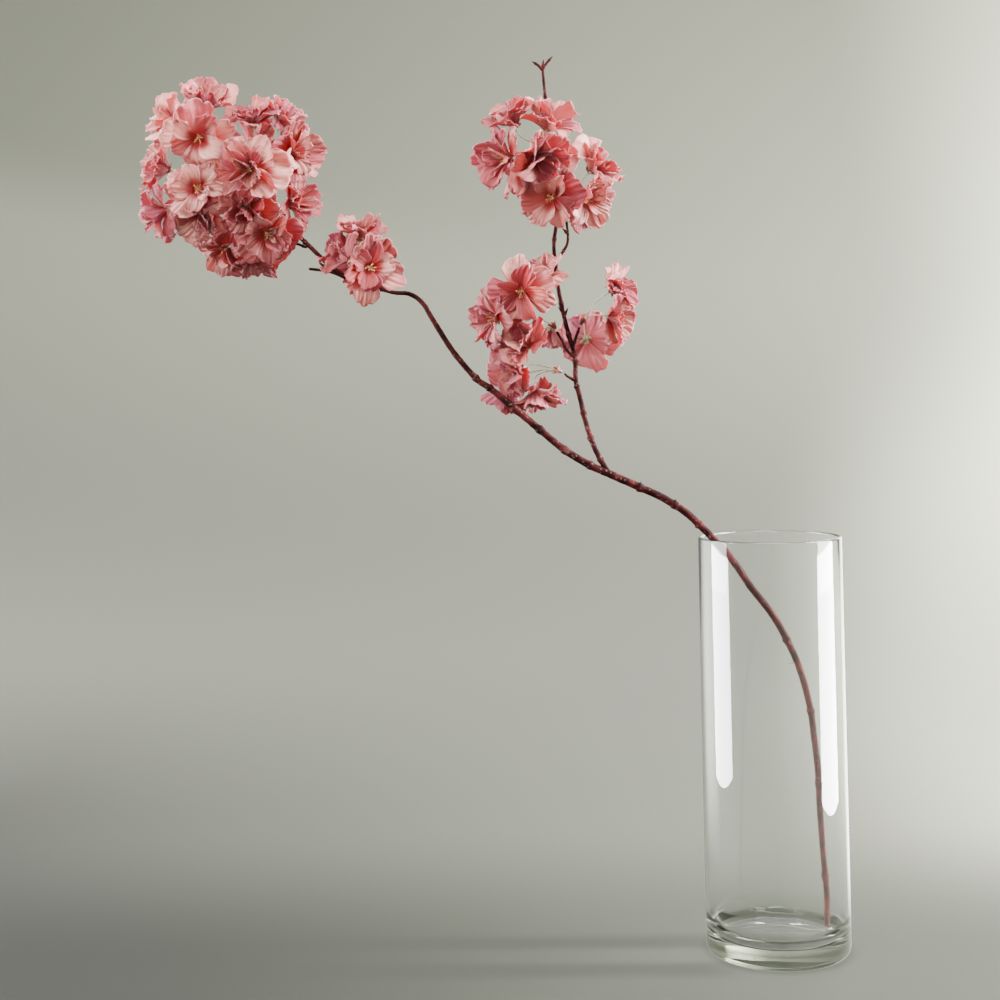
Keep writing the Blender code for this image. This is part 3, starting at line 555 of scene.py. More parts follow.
rings = [(STAGE_RADIUS, height) for height in (-SCREEN_DEPTH, 0.0, STAGE_HEIGHT)]
points, faces = lathe(rings, STAGE_SEGMENTS)
screen = solid("studio_screen", points, faces, material("screen_glow", screen_glow))
for kind in ("camera", "diffuse", "transmission", "shadow", "volume_scatter"):
    setattr(screen, "visible_" + kind, False)
print("stage radius:", STAGE_RADIUS, "height:", STAGE_HEIGHT)

# %% [markdown]
# An area lamp is a softbox: the larger it is, the softer the shadows it throws. A spread below 180 degrees
# narrows its beam, as a grid in front of a softbox does, and that keeps the key and the fill on the
# petals and off the wall.

# %% Softboxes
# Name, place, what it faces, width, height, watts, spread in degrees and tone.
LIGHT_PLAN = (
    ("softbox_right", (1.60, -0.056, 1.15), (0.0, 0.0, 0.60), 1.10, 2.1, 370, 180, (1.0, 1.0, 1.0)),
    ("softbox_left", (-1.78, 0.20, 1.15), (-0.1, 0.0, 0.60), 1.15, 2.1, 175, 180, (1.0, 1.0, 1.0)),
    ("strip_right", (1.60, -0.056, 0.02), (0.0, 0.0, 0.02), 1.10, 0.58, 230, 180, (0.98, 0.98, 1.0)),
    ("strip_left", (-1.78, 0.20, 0.02), (-0.1, 0.0, 0.02), 1.15, 0.58, 160, 180, (0.98, 0.98, 1.0)),
    ("softbox_top", (-0.1, -0.9, 2.4), (-0.2, 0.0, 0.4), 1.4, 1.0, 85, 180, (1.0, 0.99, 0.97)),
    ("softbox_key", (-1.30, -1.20, 1.05), (-0.34, 0.0, 0.61), 0.45, 0.8, 4.5, 70, (1.0, 0.98, 0.95)),
    ("softbox_fill", (-0.7, -2.0, 0.25), (-0.36, 0.0, 0.61), 1.2, 0.8, 6.5, 80, (1.0, 0.97, 0.95)),
    ("softbox_wall", (1.55, 1.75, 0.75), (1.2, 2.36, 0.6), 0.5, 1.4, 150, 180, (1.0, 1.0, 0.98)),
)


def only_mirrored(tree):
    """Light that glass shows but that dies where it would reach cloth or paint by way of the glass."""
    scattered = tree.add("ShaderNodeLightPath", None, None, "Diffuse Depth")
    return tree.add("ShaderNodeEmission", None, {"Strength": 1.0 - scattered.rise(0.0, 1.0)})


for name, place, target, width, height, power, spread, tone in LIGHT_PLAN:
    lamp = bpy.data.lights.new(name, "AREA")
    lamp.shape, lamp.size, lamp.size_y = "RECTANGLE", width, height
    lamp.energy, lamp.color, lamp.spread = power, tone, math.radians(spread)
    softbox = shown(name, lamp)
    softbox.location = place
    softbox.rotation_euler = (Vector(target) - Vector(place)).to_track_quat("-Z", "Y").to_euler()
    softbox.visible_camera = False
    softbox.visible_transmission = False
    softbox.visible_glossy = name not in ("softbox_fill", "softbox_key")
    if name.startswith("strip"):
        softbox.visible_diffuse = False
        lamp.use_nodes = True
        lamp_tree = Tree(lamp.node_tree)
        glow = only_mirrored(lamp_tree)
        output = next(node for node in lamp.node_tree.nodes if node.type == "OUTPUT_LIGHT")
        lamp.node_tree.links.new(glow.socket, output.inputs["Surface"])

world = bpy.data.worlds.new("studio_air")
bpy.context.scene.world = world
world.use_nodes = True
air = next(node for node in world.node_tree.nodes if node.type == "BACKGROUND")
air.inputs["Color"].default_value = colour(0.80, 0.81, 0.80)
air.inputs["Strength"].default_value = 0.35
print("softboxes:", len(LIGHT_PLAN))

# %% [markdown]
# ## The glass vase
#
# A cylinder vase is drawn from clear glass, with a thick floor and a rim that is melted round in a flame.
# Its outline is drawn once and spun, with a foot ring under the floor that the vase rests on. What makes
# glass look thick is that light bends twice, at the outer face and at the inner one, so the wall is a
# closed solid with both faces. Drawn glass is never quite even: a faint upright streaking in the bump
# bends the reflections a little. Seen edgewise, round its thick floor, the same clear glass is a deep grey
# green, so the heel is tinted.

# %% Glass
VASE_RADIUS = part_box("vase")[1].x
VASE_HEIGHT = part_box("vase")[1].z
VASE_WALL = 0.0030
VASE_FLOOR = 0.0138
VASE_REST = 0.0003
VASE_HEEL = 0.006
VASE_CORNER_WIDTH = 0.021
VASE_CORNER_HEIGHT = 0.020
VASE_SEGMENTS = 192


def drawn_glass(tree):
    place = tree.place()
    stretched = tree.add("ShaderNodeMapping", None, {"Vector": place, "Scale": (45.0, 45.0, 2.0)})
    streaks = tree.noise(stretched, 1.0, 1.0)
    x, y, z = tree.split(place)
    heel = ((x * x + y * y) ** 0.5).rise(0.0535, 0.0575) * (1.0 - z.rise(0.0125, 0.0165))
    tint = tree.mix(heel, colour(0.985, 0.995, 0.99), colour(0.27, 0.295, 0.255))
    return tree.surface(tint, 0.0, IOR=1.5, Transmission_Weight=1.0,
                        Normal=tree.relief(streaks, 0.25, 0.0006))


inner = VASE_RADIUS - VASE_WALL
lip = VASE_WALL / 2
corner = [(inner - VASE_CORNER_WIDTH * (1 - x), VASE_FLOOR + VASE_CORNER_HEIGHT * (1 - y))
          for x, y in arc((0, 0), 1, 0, 90, 14)]
outline = [(0.0, 0.0012), (0.0380, 0.0010), (0.0500, VASE_REST)]
outline += arc((VASE_RADIUS - VASE_HEEL, VASE_HEEL + VASE_REST), VASE_HEEL, -90, 0, 10)
outline += [(VASE_RADIUS, VASE_HEIGHT * share) for share in (0.25, 0.5, 0.75)]
outline += arc((VASE_RADIUS - lip, VASE_HEIGHT - lip), lip, 0, 180, 12)
outline += [(inner, VASE_HEIGHT * share) for share in (0.75, 0.5, 0.25)]
outline += corner
outline += [(0.0, VASE_FLOOR)]
points, faces = lathe(outline, VASE_SEGMENTS)
vase = solid("vase_glass", points, faces, material("drawn_glass", drawn_glass))
# The vase casts no shadow of its own; its shadow is painted into the floor's colour instead.
vase.visible_shadow = False
dress(vase, "clear_glass", "vase")
print("vase triangles:", count(vase))

# %% [markdown]
# ## Bark
#
# The stem is plastic moulded over steel wire and painted a dark reddish brown. Raised rings are left
# where old buds sat. Each route becomes a line of closely spaced points that carry the stem's thickness,
# and a Geometry Nodes tree skins the lines with a round profile and pushes the skin in and out by noise,
# so that no two stretches of bark are alike. A path with a profile is chosen over a stack of cylinders
# because it bends without a seam. One stray thread, left from the moulding, hangs on the stem.

# %% Painted bark
def painted_bark(tree):
    place = tree.place()
    broad = tree.noise(place, 90.0, 3.0)
    fine = tree.noise(place, 900.0, 3.0)
    brown = tree.mix(broad.rise(0.35, 0.68), colour(0.013, 0.0022, 0.0022), colour(0.060, 0.0105, 0.0108))
    speck = tree.noise(place, 420.0, 0.0).rise(0.70, 0.74)
    paint = tree.mix(speck * 0.5, brown, colour(0.16, 0.085, 0.080))
    return tree.surface(paint, fine * 0.25 + 0.45, Specular_IOR_Level=0.04,
                        Normal=tree.relief(broad + fine * 0.6, 0.7, 0.0005))


def tube_skin(tree, lines, sides):
    """Round skin over lines, as thick as their points say."""
    ring = tree.add("GeometryNodeCurvePrimitiveCircle", None, {"Resolution": sides, "Radius": 1.0})
    curve = tree.add("GeometryNodeMeshToCurve", None, {"Mesh": lines})
    return tree.add("GeometryNodeCurveToMesh", None, {
        "Curve": curve, "Profile Curve": ring, "Scale": told(tree, "thickness"), "Fill Caps": True})


def coloured(tree, geometry, look):
    """The last steps of every tree: smooth shading, real geometry and a material."""
    geometry = tree.add("GeometryNodeSetShadeSmooth", None, {"Geometry": geometry})
    geometry = tree.add("GeometryNodeRealizeInstances", None, {"Geometry": geometry})
    return tree.add("GeometryNodeSetMaterial", None, {"Geometry": geometry, "Material": look})


def bark_skin(tree, lines, given):
    skin = tube_skin(tree, lines, given["Sides"])
    place = tree.add("GeometryNodeInputPosition")
    push = (tree.noise(place, 260.0, 3.0) - 0.5) * given["Roughness"] * told(tree, "thickness")
    offset = tree.vector("SCALE", tree.add("GeometryNodeInputNormal"), Scale=push)
    skin = tree.add("GeometryNodeSetPosition", None, {"Geometry": skin, "Offset": offset})
    return coloured(tree, skin, given["Material"])


bark_tree = geometry_tree("bark_skin", {"Sides": int, "Roughness": float, "Material": bpy.types.Material},
                          bark_skin)

# %% [markdown]
# A route has only a few points, so a smooth curve is drawn through them, with a new point every 0.7 mm.
# Each point has a radius, which follows the taper of the wood and swells at every bud ring. The stem
# is stoutest a little above its middle, and a twig either ends bluntly in a knob or is drawn out to a point.

# %% Lines of wood
STEM_FOOT_RADIUS = 0.0026
STEM_MIDDLE_RADIUS = 0.0033
STEM_TIP_RADIUS = 0.0012
STEM_STOUTEST = 0.55
CROWN_FOOT_RADIUS = 0.0021
SIDE_FOOT_RADIUS = 0.0024
SIDE_TIP_RADIUS = 0.0013
TWIG_RADIUS = 0.0014
TWIG_TIP_RADIUS = 0.0010
BARK_STEP = 0.0007


def wood_path(route, step):
    """Points about a step apart on a Catmull-Rom curve through a route, with their places along it."""
    knots = [Vector(p) for p in route]
    ends = [knots[0] * 2 - knots[1]] + knots + [knots[-1] * 2 - knots[-2]]
    path = []
    for i in range(len(knots) - 1):
        a, b, c, d = ends[i:i + 4]
        steps = math.ceil((c - b).length / step)
        for k in range(steps):
            t = k / steps
            point = b + (c - a) * (t / 2) + (a * 2 - b * 5 + c * 4 - d) * (t * t / 2)
            path.append((point + (b * 3 - a - c * 3 + d) * (t ** 3 / 2), i + t))
    path.append((knots[-1], float(len(knots) - 1)))
    return path


def bud_ring(place, knots):
    """A slow swelling under each old bud and the sharp lip that its scale left."""
    slow = sum(math.exp(-(((place - knot) / 0.09) ** 2)) for knot in knots)
    sharp = sum(math.exp(-(((place - knot - 0.05) / 0.025) ** 2)) for knot in knots)
    return 1 + 0.24 * slow + 0.20 * sharp


def stem_radius(share, place):
    if share < STEM_STOUTEST:
        base = STEM_FOOT_RADIUS + (STEM_MIDDLE_RADIUS - STEM_FOOT_RADIUS) * share / STEM_STOUTEST
    else:
        thinned = ((share - STEM_STOUTEST) / (1 - STEM_STOUTEST)) ** 1.3
        base = STEM_MIDDLE_RADIUS + (STEM_TIP_RADIUS - STEM_MIDDLE_RADIUS) * thinned
    return base * bud_ring(place, STEM_KNOTS)


def tapered(start, end, knots=()):
    return lambda share, place: (start + (end - start) * share) * bud_ring(place, knots)


def wood_line(route, radius_at, pointed):
    """A route's fine points and thicknesses, with its end rounded off or drawn out to a point."""
    path = wood_path(route, BARK_STEP)
    last = len(route) - 1
    radii = [radius_at(place / last, place) for _, place in path]
    points = [point for point, _ in path]
    way = (points[-1] - points[-2]).normalized()
    blunt = radii[-1]
    if pointed:
        reach = min(6, len(radii) - 1)
        for k in range(1, reach + 1):
            radii[-k] *= (k / (reach + 1)) ** 0.7
    for turn in (0.35, 0.65, 0.9) if not pointed else ():
        points.append(points[len(path) - 1] + way * (blunt * math.sin(turn * math.pi / 2)))
        radii.append(blunt * math.cos(turn * math.pi / 2))
    return points, radii


def strung(lines):
    """Several lines of points and thicknesses as one list each, with the edges that string them up."""
    points, radii, edges = [], [], []
    for line, thick in lines:
        edges += [(len(points) + i, len(points) + i + 1) for i in range(len(line) - 1)]
        points += line
        radii += thick
    return points, radii, edges


# %% [markdown]
# The lines are strung into one base mesh, so that the whole of the wood is one piece, as it is moulded.

# %% The branch
CROWN_KNOTS = (1.3, 3.1, 4.6, 6.2, 7.7, 8.9)
SIDE_KNOTS = (0.6, 1.5, 2.4, 3.6, 4.9, 6.4, 7.5, 8.6, 9.4, 10.5, 11.6, 12.9, 13.7, 14.6, 15.2)
TWIG_KNOTS = (0.35, 1.4)
POINTED_TWIGS = (3, 5, 9, 10, 11, 12, 13, 14)
THREAD_ROUTE = ((0.020, -0.006, 0.2390), (0.016, -0.008, 0.2395), (0.011, -0.009, 0.2395))
THREAD_RADIUS = 0.0003
lines = [
    wood_line(STEM_ROUTE, stem_radius, False),
    wood_line(CROWN_ROUTE, tapered(CROWN_FOOT_RADIUS, TWIG_RADIUS, CROWN_KNOTS), False),
    wood_line(SIDE_ROUTE, tapered(SIDE_FOOT_RADIUS, SIDE_TIP_RADIUS, SIDE_KNOTS), False),
]
for number, route in enumerate(TWIG_ROUTES):
    taper = tapered(TWIG_RADIUS, TWIG_TIP_RADIUS, TWIG_KNOTS)
    lines.append(wood_line(route, taper, number in POINTED_TWIGS))
lines.append(wood_line(THREAD_ROUTE, tapered(THREAD_RADIUS, THREAD_RADIUS), True))
points, radii, edges = strung(lines)
bark = material("painted_bark_fine", painted_bark)
branch = grow("branch_bark", bark_tree, seedling("branch_lines", points, edges, thickness=radii),
              {"Sides": 14, "Roughness": 0.30, "Material": bark})
dress(branch, "painted_bark", "branch")
print("branch triangles:", count(branch))

# %% [markdown]
# ## Bubbles in the glass
#
# Small bubbles stay in the thick floor of drawn glass, and each one shines like a drop of silver because
# the light that meets it is thrown back. A tree sets a ball of its own size on every point of a base.

# %% Bubbles
BUBBLES = 36
BUBBLE_REACH = 0.052


def bubble_silver(tree):
    return tree.surface(colour(0.95, 0.97, 0.96), tree.noise(tree.place(), 900.0) * 0.1 + 0.05, Metallic=1.0)


def balls_on_points(tree, points, given):
    size = told(tree, "size")
    ball = tree.add("GeometryNodeMeshIcoSphere", None, {
        "Radius": 1.0, "Subdivisions": given["Subdivisions"]})
    balls = tree.add("GeometryNodeInstanceOnPoints", None, {
        "Points": points, "Instance": ball, "Scale": tree.join(size, size, size)})
    return coloured(tree, balls, given["Material"])


draw = random.Random("bubbles")
points, sizes = [], []
for _ in range(BUBBLES):
    turn, reach = draw.uniform(0, 2 * math.pi), BUBBLE_REACH * draw.random() ** 0.5
    points.append((reach * math.cos(turn), reach * math.sin(turn), draw.uniform(0.0028, 0.0112)))
    sizes.append(0.00012 + 0.00045 * draw.random() ** 3)
bubble_tree = geometry_tree("bubbles", {"Subdivisions": int, "Material": bpy.types.Material}, balls_on_points)
bubbles = grow("vase_bubbles", bubble_tree, seedling("bubble_points", points, size=sizes),
               {"Subdivisions": 3, "Material": material("bubble_silver", bubble_silver)})
dress(bubbles, "clear_glass")
print("bubbles:", BUBBLES, "triangles:", count(bubbles))

# %% [markdown]
# ## Blooms in their places
#
# Each bloom has a frame of its own: an axis that it faces along and two directions across it. Silk petals
# of neighbouring blooms press against each other. Here every bloom keeps to a cell of space that ends
# half way to its neighbours, and a petal that would reach past a wall of the cell is eased back more and
# more, so it bends over against the wall and never crosses it.

# %% Bloom frames and cells
PETALS_IN_RING = 5
HUB_RADIUS = 0.0032
HUB_TIER = 0.0009
HUB_BEHIND_HEART = 0.25
WIRE_RADIUS = 0.0006
WIRE_SPREAD = 0.0009
CALYX_LENGTH = 0.0050
CELL_OVERLAP = 0.0070
WOOD_CLEARANCE = 0.0009
CELL_EASE = 0.75


class Bloom:
    """One bloom's place: its heart, its axis, its hub and the cell of space that it keeps to."""

    def __init__(self, index, row):
        self.name, self.spray, heart, facing, self.length, self.open = row
        self.heart = Vector(heart)
        self.axis = Vector(facing).normalized()
        self.hub = self.heart - self.axis * (HUB_BEHIND_HEART * self.length)
        self.draw = random.Random(100 + index)
        turn = self.draw.uniform(0, 2 * math.pi / PETALS_IN_RING)
        first = self.axis.orthogonal().normalized()
        second = self.axis.cross(first)
        self.east = first * math.cos(turn) + second * math.sin(turn)
        self.north = self.axis.cross(self.east)
        self.walls = []

    def place(self, x, y, z):
        return self.hub + self.east * x + self.north * y + self.axis * z

    def frame(self, rows):
        """The bloom's place and directions as named vectors for a number of petals."""
        vectors = {"origin": self.hub, "east": self.east, "north": self.north, "axis": self.axis}
        return {name: np.tile(np.array(vector), (rows, 1)) for name, vector in vectors.items()}

    def wire_path(self, steps):
        """The wire from the spray's knob to the foot of this bloom's calyx."""
        start, way = (Vector(v) for v in SPRAYS[self.spray])
        end = self.place(0, 0, -CALYX_LENGTH)
        aside = (end - start) - way * ((end - start).dot(way) / way.length_squared)
        start = start + aside.normalized() * WIRE_SPREAD
        reach = (end - start).length
        pull = way.normalized() * (0.30 * reach)
        push = self.axis * (-0.38 * reach)
        path = []
        for k in range(steps + 1):
            t, s = k / steps, 1 - k / steps
            path.append(start * s ** 3 + (start + pull) * (3 * s * s * t)
                        + (end + push) * (3 * s * t * t) + end * t ** 3)
        return path

    def eased(self, points):
        """Points eased back from the walls of the bloom's cell."""
        for normal, limit in self.walls:
            start = CELL_EASE * limit
            room = limit - start
            reach = (points - np.array(self.heart)) @ np.array(normal)
            over = np.maximum(reach - start, 0)
            points = points + np.outer(room * (1 - np.exp(-over / room)) - over, normal)
        return points


# %% [markdown]
# A wall stands between two blooms wherever they come close enough to touch, nearer to the smaller one.
# Wood and wires of other blooms get a wall too, so that no petal is run through.

# %% Cells of space
def closest_on(path, point):
    """The point of a path that is closest to a point."""
    found = []
    for a, b in zip(path, path[1:]):
        along = b - a
        found.append(a + along * max(0.0, min(1.0, (point - a).dot(along) / along.length_squared)))
    return min(found, key=lambda place: (place - point).length)


def set_cells(blooms):
    """Walls between neighbours, and between each bloom and the wood and wires that pass it."""
    limbs = ((STEM_ROUTE, STEM_MIDDLE_RADIUS), (CROWN_ROUTE, CROWN_FOOT_RADIUS),
             (SIDE_ROUTE, SIDE_FOOT_RADIUS))
    woods = [([p for p, _ in wood_path(route, 0.01)], radius) for route, radius in limbs]
    woods += [([Vector(p) for p in route], TWIG_RADIUS) for route in TWIG_ROUTES]
    wires = {bloom.name: bloom.wire_path(2) for bloom in blooms}
    for bloom in blooms:
        for other in blooms:
            apart = other.heart - bloom.heart
            if other is not bloom and apart.length <= bloom.length + other.length:
                share = bloom.length / (bloom.length + other.length)
                bloom.walls.append((apart.normalized(), apart.length * share + CELL_OVERLAP))
        obstacles = woods + [(path, WIRE_RADIUS) for name, path in wires.items() if name != bloom.name]
        for path, radius in obstacles:
            apart = closest_on(path, bloom.heart) - bloom.heart
            if apart.length < bloom.length:
                bloom.walls.append((apart.normalized(), apart.length - radius - WOOD_CLEARANCE))


blooms = [Bloom(index, row) for index, row in enumerate(BLOOMS)]
set_cells(blooms)
print("cell walls:", sum(len(bloom.walls) for bloom in blooms))

# %% [markdown]
# ## Silk petals
#
# A silk petal is stamped out of dyed cloth with a scalloped edge, and a hot iron presses pleats into it
# that fan out from its root. The dye runs: deep coral red at the root, salmon in the middle, pinker at the
# margin, with cream where it was held back. How far a bloom's coral reaches and how much cream it has also
# stand partly for light: painted shade on blooms in shade, a painted highlight on lit ones. The reverse is
# a cooler mauve pink. The dye gathers dark in some rims, and the other rims get a pale painted highlight.
# Real cloth lets light through, so part of the shader is translucent.

# %% Dyed silk
def petal_attributes(tree, names):
    return [tree.add("ShaderNodeAttribute", {"attribute_name": name}, None, "Fac") for name in names]


def pressed_cloth(tree, u, v, shade):
    """The silk's shader: pleats and threads in the bump, and light that comes through from behind."""
    seed, = petal_attributes(tree, ("seed",))
    pleats = tree.noise(tree.join(v * 24.0, u * 1.6, seed * 5.0), 1.0, 2.0)
    ribs = (v * (30.0 - u * 8.0) + pleats * 7.0).sine()
    threads = tree.noise(tree.place(), 2600.0, 1.0)
    height = (pleats + ribs * 0.30) * u.rise(0.1, 0.7) + threads * 0.08
    silk = tree.surface(shade, pleats * 0.2 + 0.45, Sheen_Weight=0.14, Sheen_Roughness=0.5,
                        Specular_IOR_Level=0.36, Normal=tree.relief(height, 0.9, 0.0009))
    glow = tree.add("ShaderNodeBsdfTranslucent", None, {"Color": colour(0.82, 0.10, 0.11)})
    return tree.add("ShaderNodeMixShader", None, {0: 0.36, 1: silk, 2: glow})


# %% [markdown]
# The colours follow the petal's own map: u runs from root to tip and v from edge to edge. Each petal also
# carries a share of cream, of pink and of deep coral, and a seed that makes its streaks its own.

# %% Colours of a petal
def petal_place(tree):
    u, v, _ = tree.split(tree.add("ShaderNodeUVMap", {"uv_map": "UVMap"}))
    return u, v


def rim_line(u, v):
    side = (v * 2.0 - 1.0).size().rise(0.955, 0.99) * u.rise(0.2, 0.5)
    tip = u.rise(0.968, 0.992)
    return side.tree.maths("MAXIMUM", side, tip)


def rim_dye_and_highlight(tree, seed):
    """Dark dye in the rims of most petals, and a pale painted highlight along the rims of the others."""
    return tree.mix((seed * 7.3).sine().rise(0.35, 0.9), colour(0.34, 0.065, 0.085), colour(1.0, 0.58, 0.56))


def petal_front(tree):
    u, v = petal_place(tree)
    cream, pink, deep, seed = petal_attributes(tree, ("cream", "pink", "deep", "seed"))
    streak = tree.noise(tree.join(v * 22.0, u * 1.6, seed * 9.0), 1.0, 3.0)
    blotch = tree.noise(tree.place(), 70.0, 2.0)
    body = tree.mix(pink, colour(0.42, 0.078, 0.073), colour(0.42, 0.078, 0.125))
    # Cream towards the tip: dye, and partly a painted highlight on the more brightly lit blooms.
    body = tree.mix((cream * u.rise(0.18, 0.62) + (blotch - 0.5) * 0.6).rise(0.0, 1.0), body,
                    colour(1.0, 0.53, 0.46))
    body = tree.mix(u.rise(0.70, 1.0) * (pink * 0.5 + 0.30), body, colour(0.38, 0.066, 0.104))
    # The deep coral throat: dye at the root, pushed further out by the bloom's deep share, partly painted
    # shade.
    throat = 1.0 - (u + (streak - 0.5) * 0.45 - deep * 0.42).rise(-0.02, 0.36)
    body = tree.mix(throat, body, colour(0.41, 0.028, 0.030))
    body = tree.mix(streak.rise(0.45, 0.75) * 0.38, body, colour(0.40, 0.042, 0.044))
    # Rims: dark dye on most petals, a pale painted highlight on the others.
    body = tree.mix(rim_line(u, v) * 0.65, body, rim_dye_and_highlight(tree, seed))
    return pressed_cloth(tree, u, v, body)


def petal_reverse(tree):
    u, v = petal_place(tree)
    cream, pink, deep, seed = petal_attributes(tree, ("cream", "pink", "deep", "seed"))
    streak = tree.noise(tree.join(v * 22.0, u * 1.6, seed * 9.0), 1.0, 3.0)
    body = tree.mix(pink, colour(0.42, 0.075, 0.084), colour(0.39, 0.090, 0.145))
    # Cream on the reverse: dye, and partly a painted highlight on the more brightly lit blooms.
    body = tree.mix(cream * 0.6, body, colour(0.85, 0.33, 0.30))
    body = tree.mix((1.0 - u.rise(0.05, 0.5)) * 0.75, body, colour(0.34, 0.026, 0.032))
    body = tree.mix(streak.rise(0.45, 0.75) * 0.38, body, colour(0.32, 0.038, 0.058))
    # Rims: dark dye on most petals, a pale painted highlight on the others.
    body = tree.mix(rim_line(u, v) * 0.65, body, rim_dye_and_highlight(tree, seed))
    return pressed_cloth(tree, u, v, body)


def petal_cut_edge(tree):
    u, v = petal_place(tree)
    return pressed_cloth(tree, u, v, colour(0.54, 0.16, 0.18))


front = material("silk_front", petal_front)
reverse = material("silk_reverse", petal_reverse)
cut_edge = material("silk_cut_edge", petal_cut_edge)

# %% [markdown]
# Every petal follows one rule with its own numbers, so a Geometry Nodes tree makes them. Each point of
# the base stands for one petal and carries its numbers. The tree lays a flat grid on every point, with u
# running from root to tip and v from edge to edge, and then moves each point of the grid to where the
# cloth goes: along an arc that rises out of the hub, folded, cupped and twisted, with scallops round
# the tip and ruffles that grow towards the rim.

# %% The petal rule
def silk_petals(tree, petals, given):
    def its(name):
        return told(tree, name)

    sheet = tree.add("GeometryNodeMeshGrid", None, {
        "Size X": 1.0, "Size Y": 2.0, "Vertices X": given["Rows"], "Vertices Y": given["Strands"]})
    cloth = tree.add("GeometryNodeInstanceOnPoints", None, {"Points": petals, "Instance": sheet})
    cloth = tree.add("GeometryNodeRealizeInstances", None, {"Geometry": cloth})

    x, v, _ = tree.split(tree.add("GeometryNodeInputPosition"))
    u = (x + 0.5) * (1.4 - (x + 0.5) * 0.4)
    uv = tree.join(u, v * 0.5 + 0.5)
    cloth = tree.add("GeometryNodeStoreNamedAttribute", {"data_type": "FLOAT2", "domain": "CORNER"},
                     {"Geometry": cloth, "Name": "UVMap", "Value": uv})

    seed, edge = its("seed"), v.size()
    scallop = 1.0 - (v * its("lobes") + seed).sine().size() ** 0.4
    nick = 1.0 - (v * its("lobes") * 3.1 + seed * 5.0).sine().size() ** 0.5
    w = u * (1.0 - edge ** 2.3 * 0.33 - (scallop * u ** 4.0 + nick * u ** 6.0 * 0.2) * given["Notch"])
    root, tip = its("root_rise"), its("tip_rise")
    change = tip - root
    rise = root + change * w
    out = its("length") * (rise.sine() - root.sine()) / change + given["Root radius"]
    up = its("length") * (root.cosine() - rise.cosine()) / change + its("root_height")
    spread = (w ** 1.05 * (0.65 * math.pi)).sine()
    half = (its("half_width") - given["Root width"]) * spread + given["Root width"]
    half = half * (1.0 + (w * 9.0 + seed * 2.0 + v * 1.3).sine() * edge * 0.06)

    crease = (v * v + 0.02) ** 0.5
    fold = its("fold")
    waves = (v * 3.1 + seed * 3.0).sine() * w ** 1.4 * 0.13
    waves = waves + (v * 7.3 + u * 1.5 + seed * 5.0).sine() * w ** 2.0 * 0.075
    tumble = tree.noise(tree.join(v * 1.9, u * 1.6, seed * 7.0), 1.0, 2.0) - 0.5
    waves = waves + tumble * w * 0.75
    rim = u ** 7.0 + edge ** 7.0 * u
    broad, fine = (v * 17.0 + u * 9.0 + seed * 11.0).sine(), (v * 31.0 - u * 6.0 + seed * 4.0).sine()
    frill = (broad * 0.6 + fine * 0.4) * rim
    curl = its("curl") * w ** 3.0 * its("length")
    lift = half * (v * v * its("cup") + v * its("twist") + crease * fold.sine() + waves * given["Ruffle"])
    pleats = (v * its("pleats") + seed * 6.0).sine() * w ** 1.3 * given["Pleat depth"]
    lift = lift + frill * given["Frill"] + pleats + curl
    side = half * v * fold.cosine() + its("sway") * its("length") * w ** 2.0
    out, up = out - rise.sine() * lift, up + rise.cosine() * lift
    c, s = its("azimuth").cosine(), its("azimuth").sine()
    place = told(tree, "origin", "FLOAT_VECTOR")
    for way, reach in (("east", out * c - side * s), ("north", out * s + side * c), ("axis", up)):
        place = tree.vector("ADD", place, tree.vector("SCALE", told(tree, way, "FLOAT_VECTOR"), Scale=reach))
    cloth = tree.add("GeometryNodeSetPosition", None, {"Geometry": cloth, "Position": place})
    return coloured(tree, cloth, given["Material"])


petal_tree = geometry_tree("silk_petals", {
    "Rows": int, "Strands": int, "Root radius": float, "Root width": float, "Notch": float, "Ruffle": float,
    "Pleat depth": float, "Frill": float, "Material": bpy.types.Material}, silk_petals)

# %% [markdown]
# A double bloom has four rings. The outer petals are the largest and lie widest open, and further in they
# are smaller, stand steeper and fold more. Each number below is where a draw starts or how far it may
# stray, so that no two petals are alike. Every bloom has its own seed, so it always comes out the same.

# %% How each ring of petals is cut and set
RINGS = (
    {"size": 1.0, "half_width": 0.49, "root_rise": 16, "root_closing": 66, "tip_rise": -10, "tip_closing": 86,
     "root_spread": 13, "tip_spread": 26, "fold": (-0.35, 0.40), "curl": (-0.30, 0.16)},
    {"size": 0.86, "half_width": 0.46, "root_rise": 42, "root_closing": 46, "tip_rise": 12, "tip_closing": 70,
     "root_spread": 17, "tip_spread": 32, "fold": (-0.15, 0.80), "curl": (-0.32, 0.22)},
    {"size": 0.66, "half_width": 0.44, "root_rise": 62, "root_closing": 26, "tip_rise": 34, "tip_closing": 50,
     "root_spread": 18, "tip_spread": 34, "fold": (0.15, 1.15), "curl": (-0.30, 0.30)},
    {"size": 0.50, "half_width": 0.24, "root_rise": 72, "root_closing": 12, "tip_rise": 56, "tip_closing": 30,
     "root_spread": 14, "tip_spread": 30, "fold": (0.00, 0.90), "curl": (-0.35, 0.35)},
)
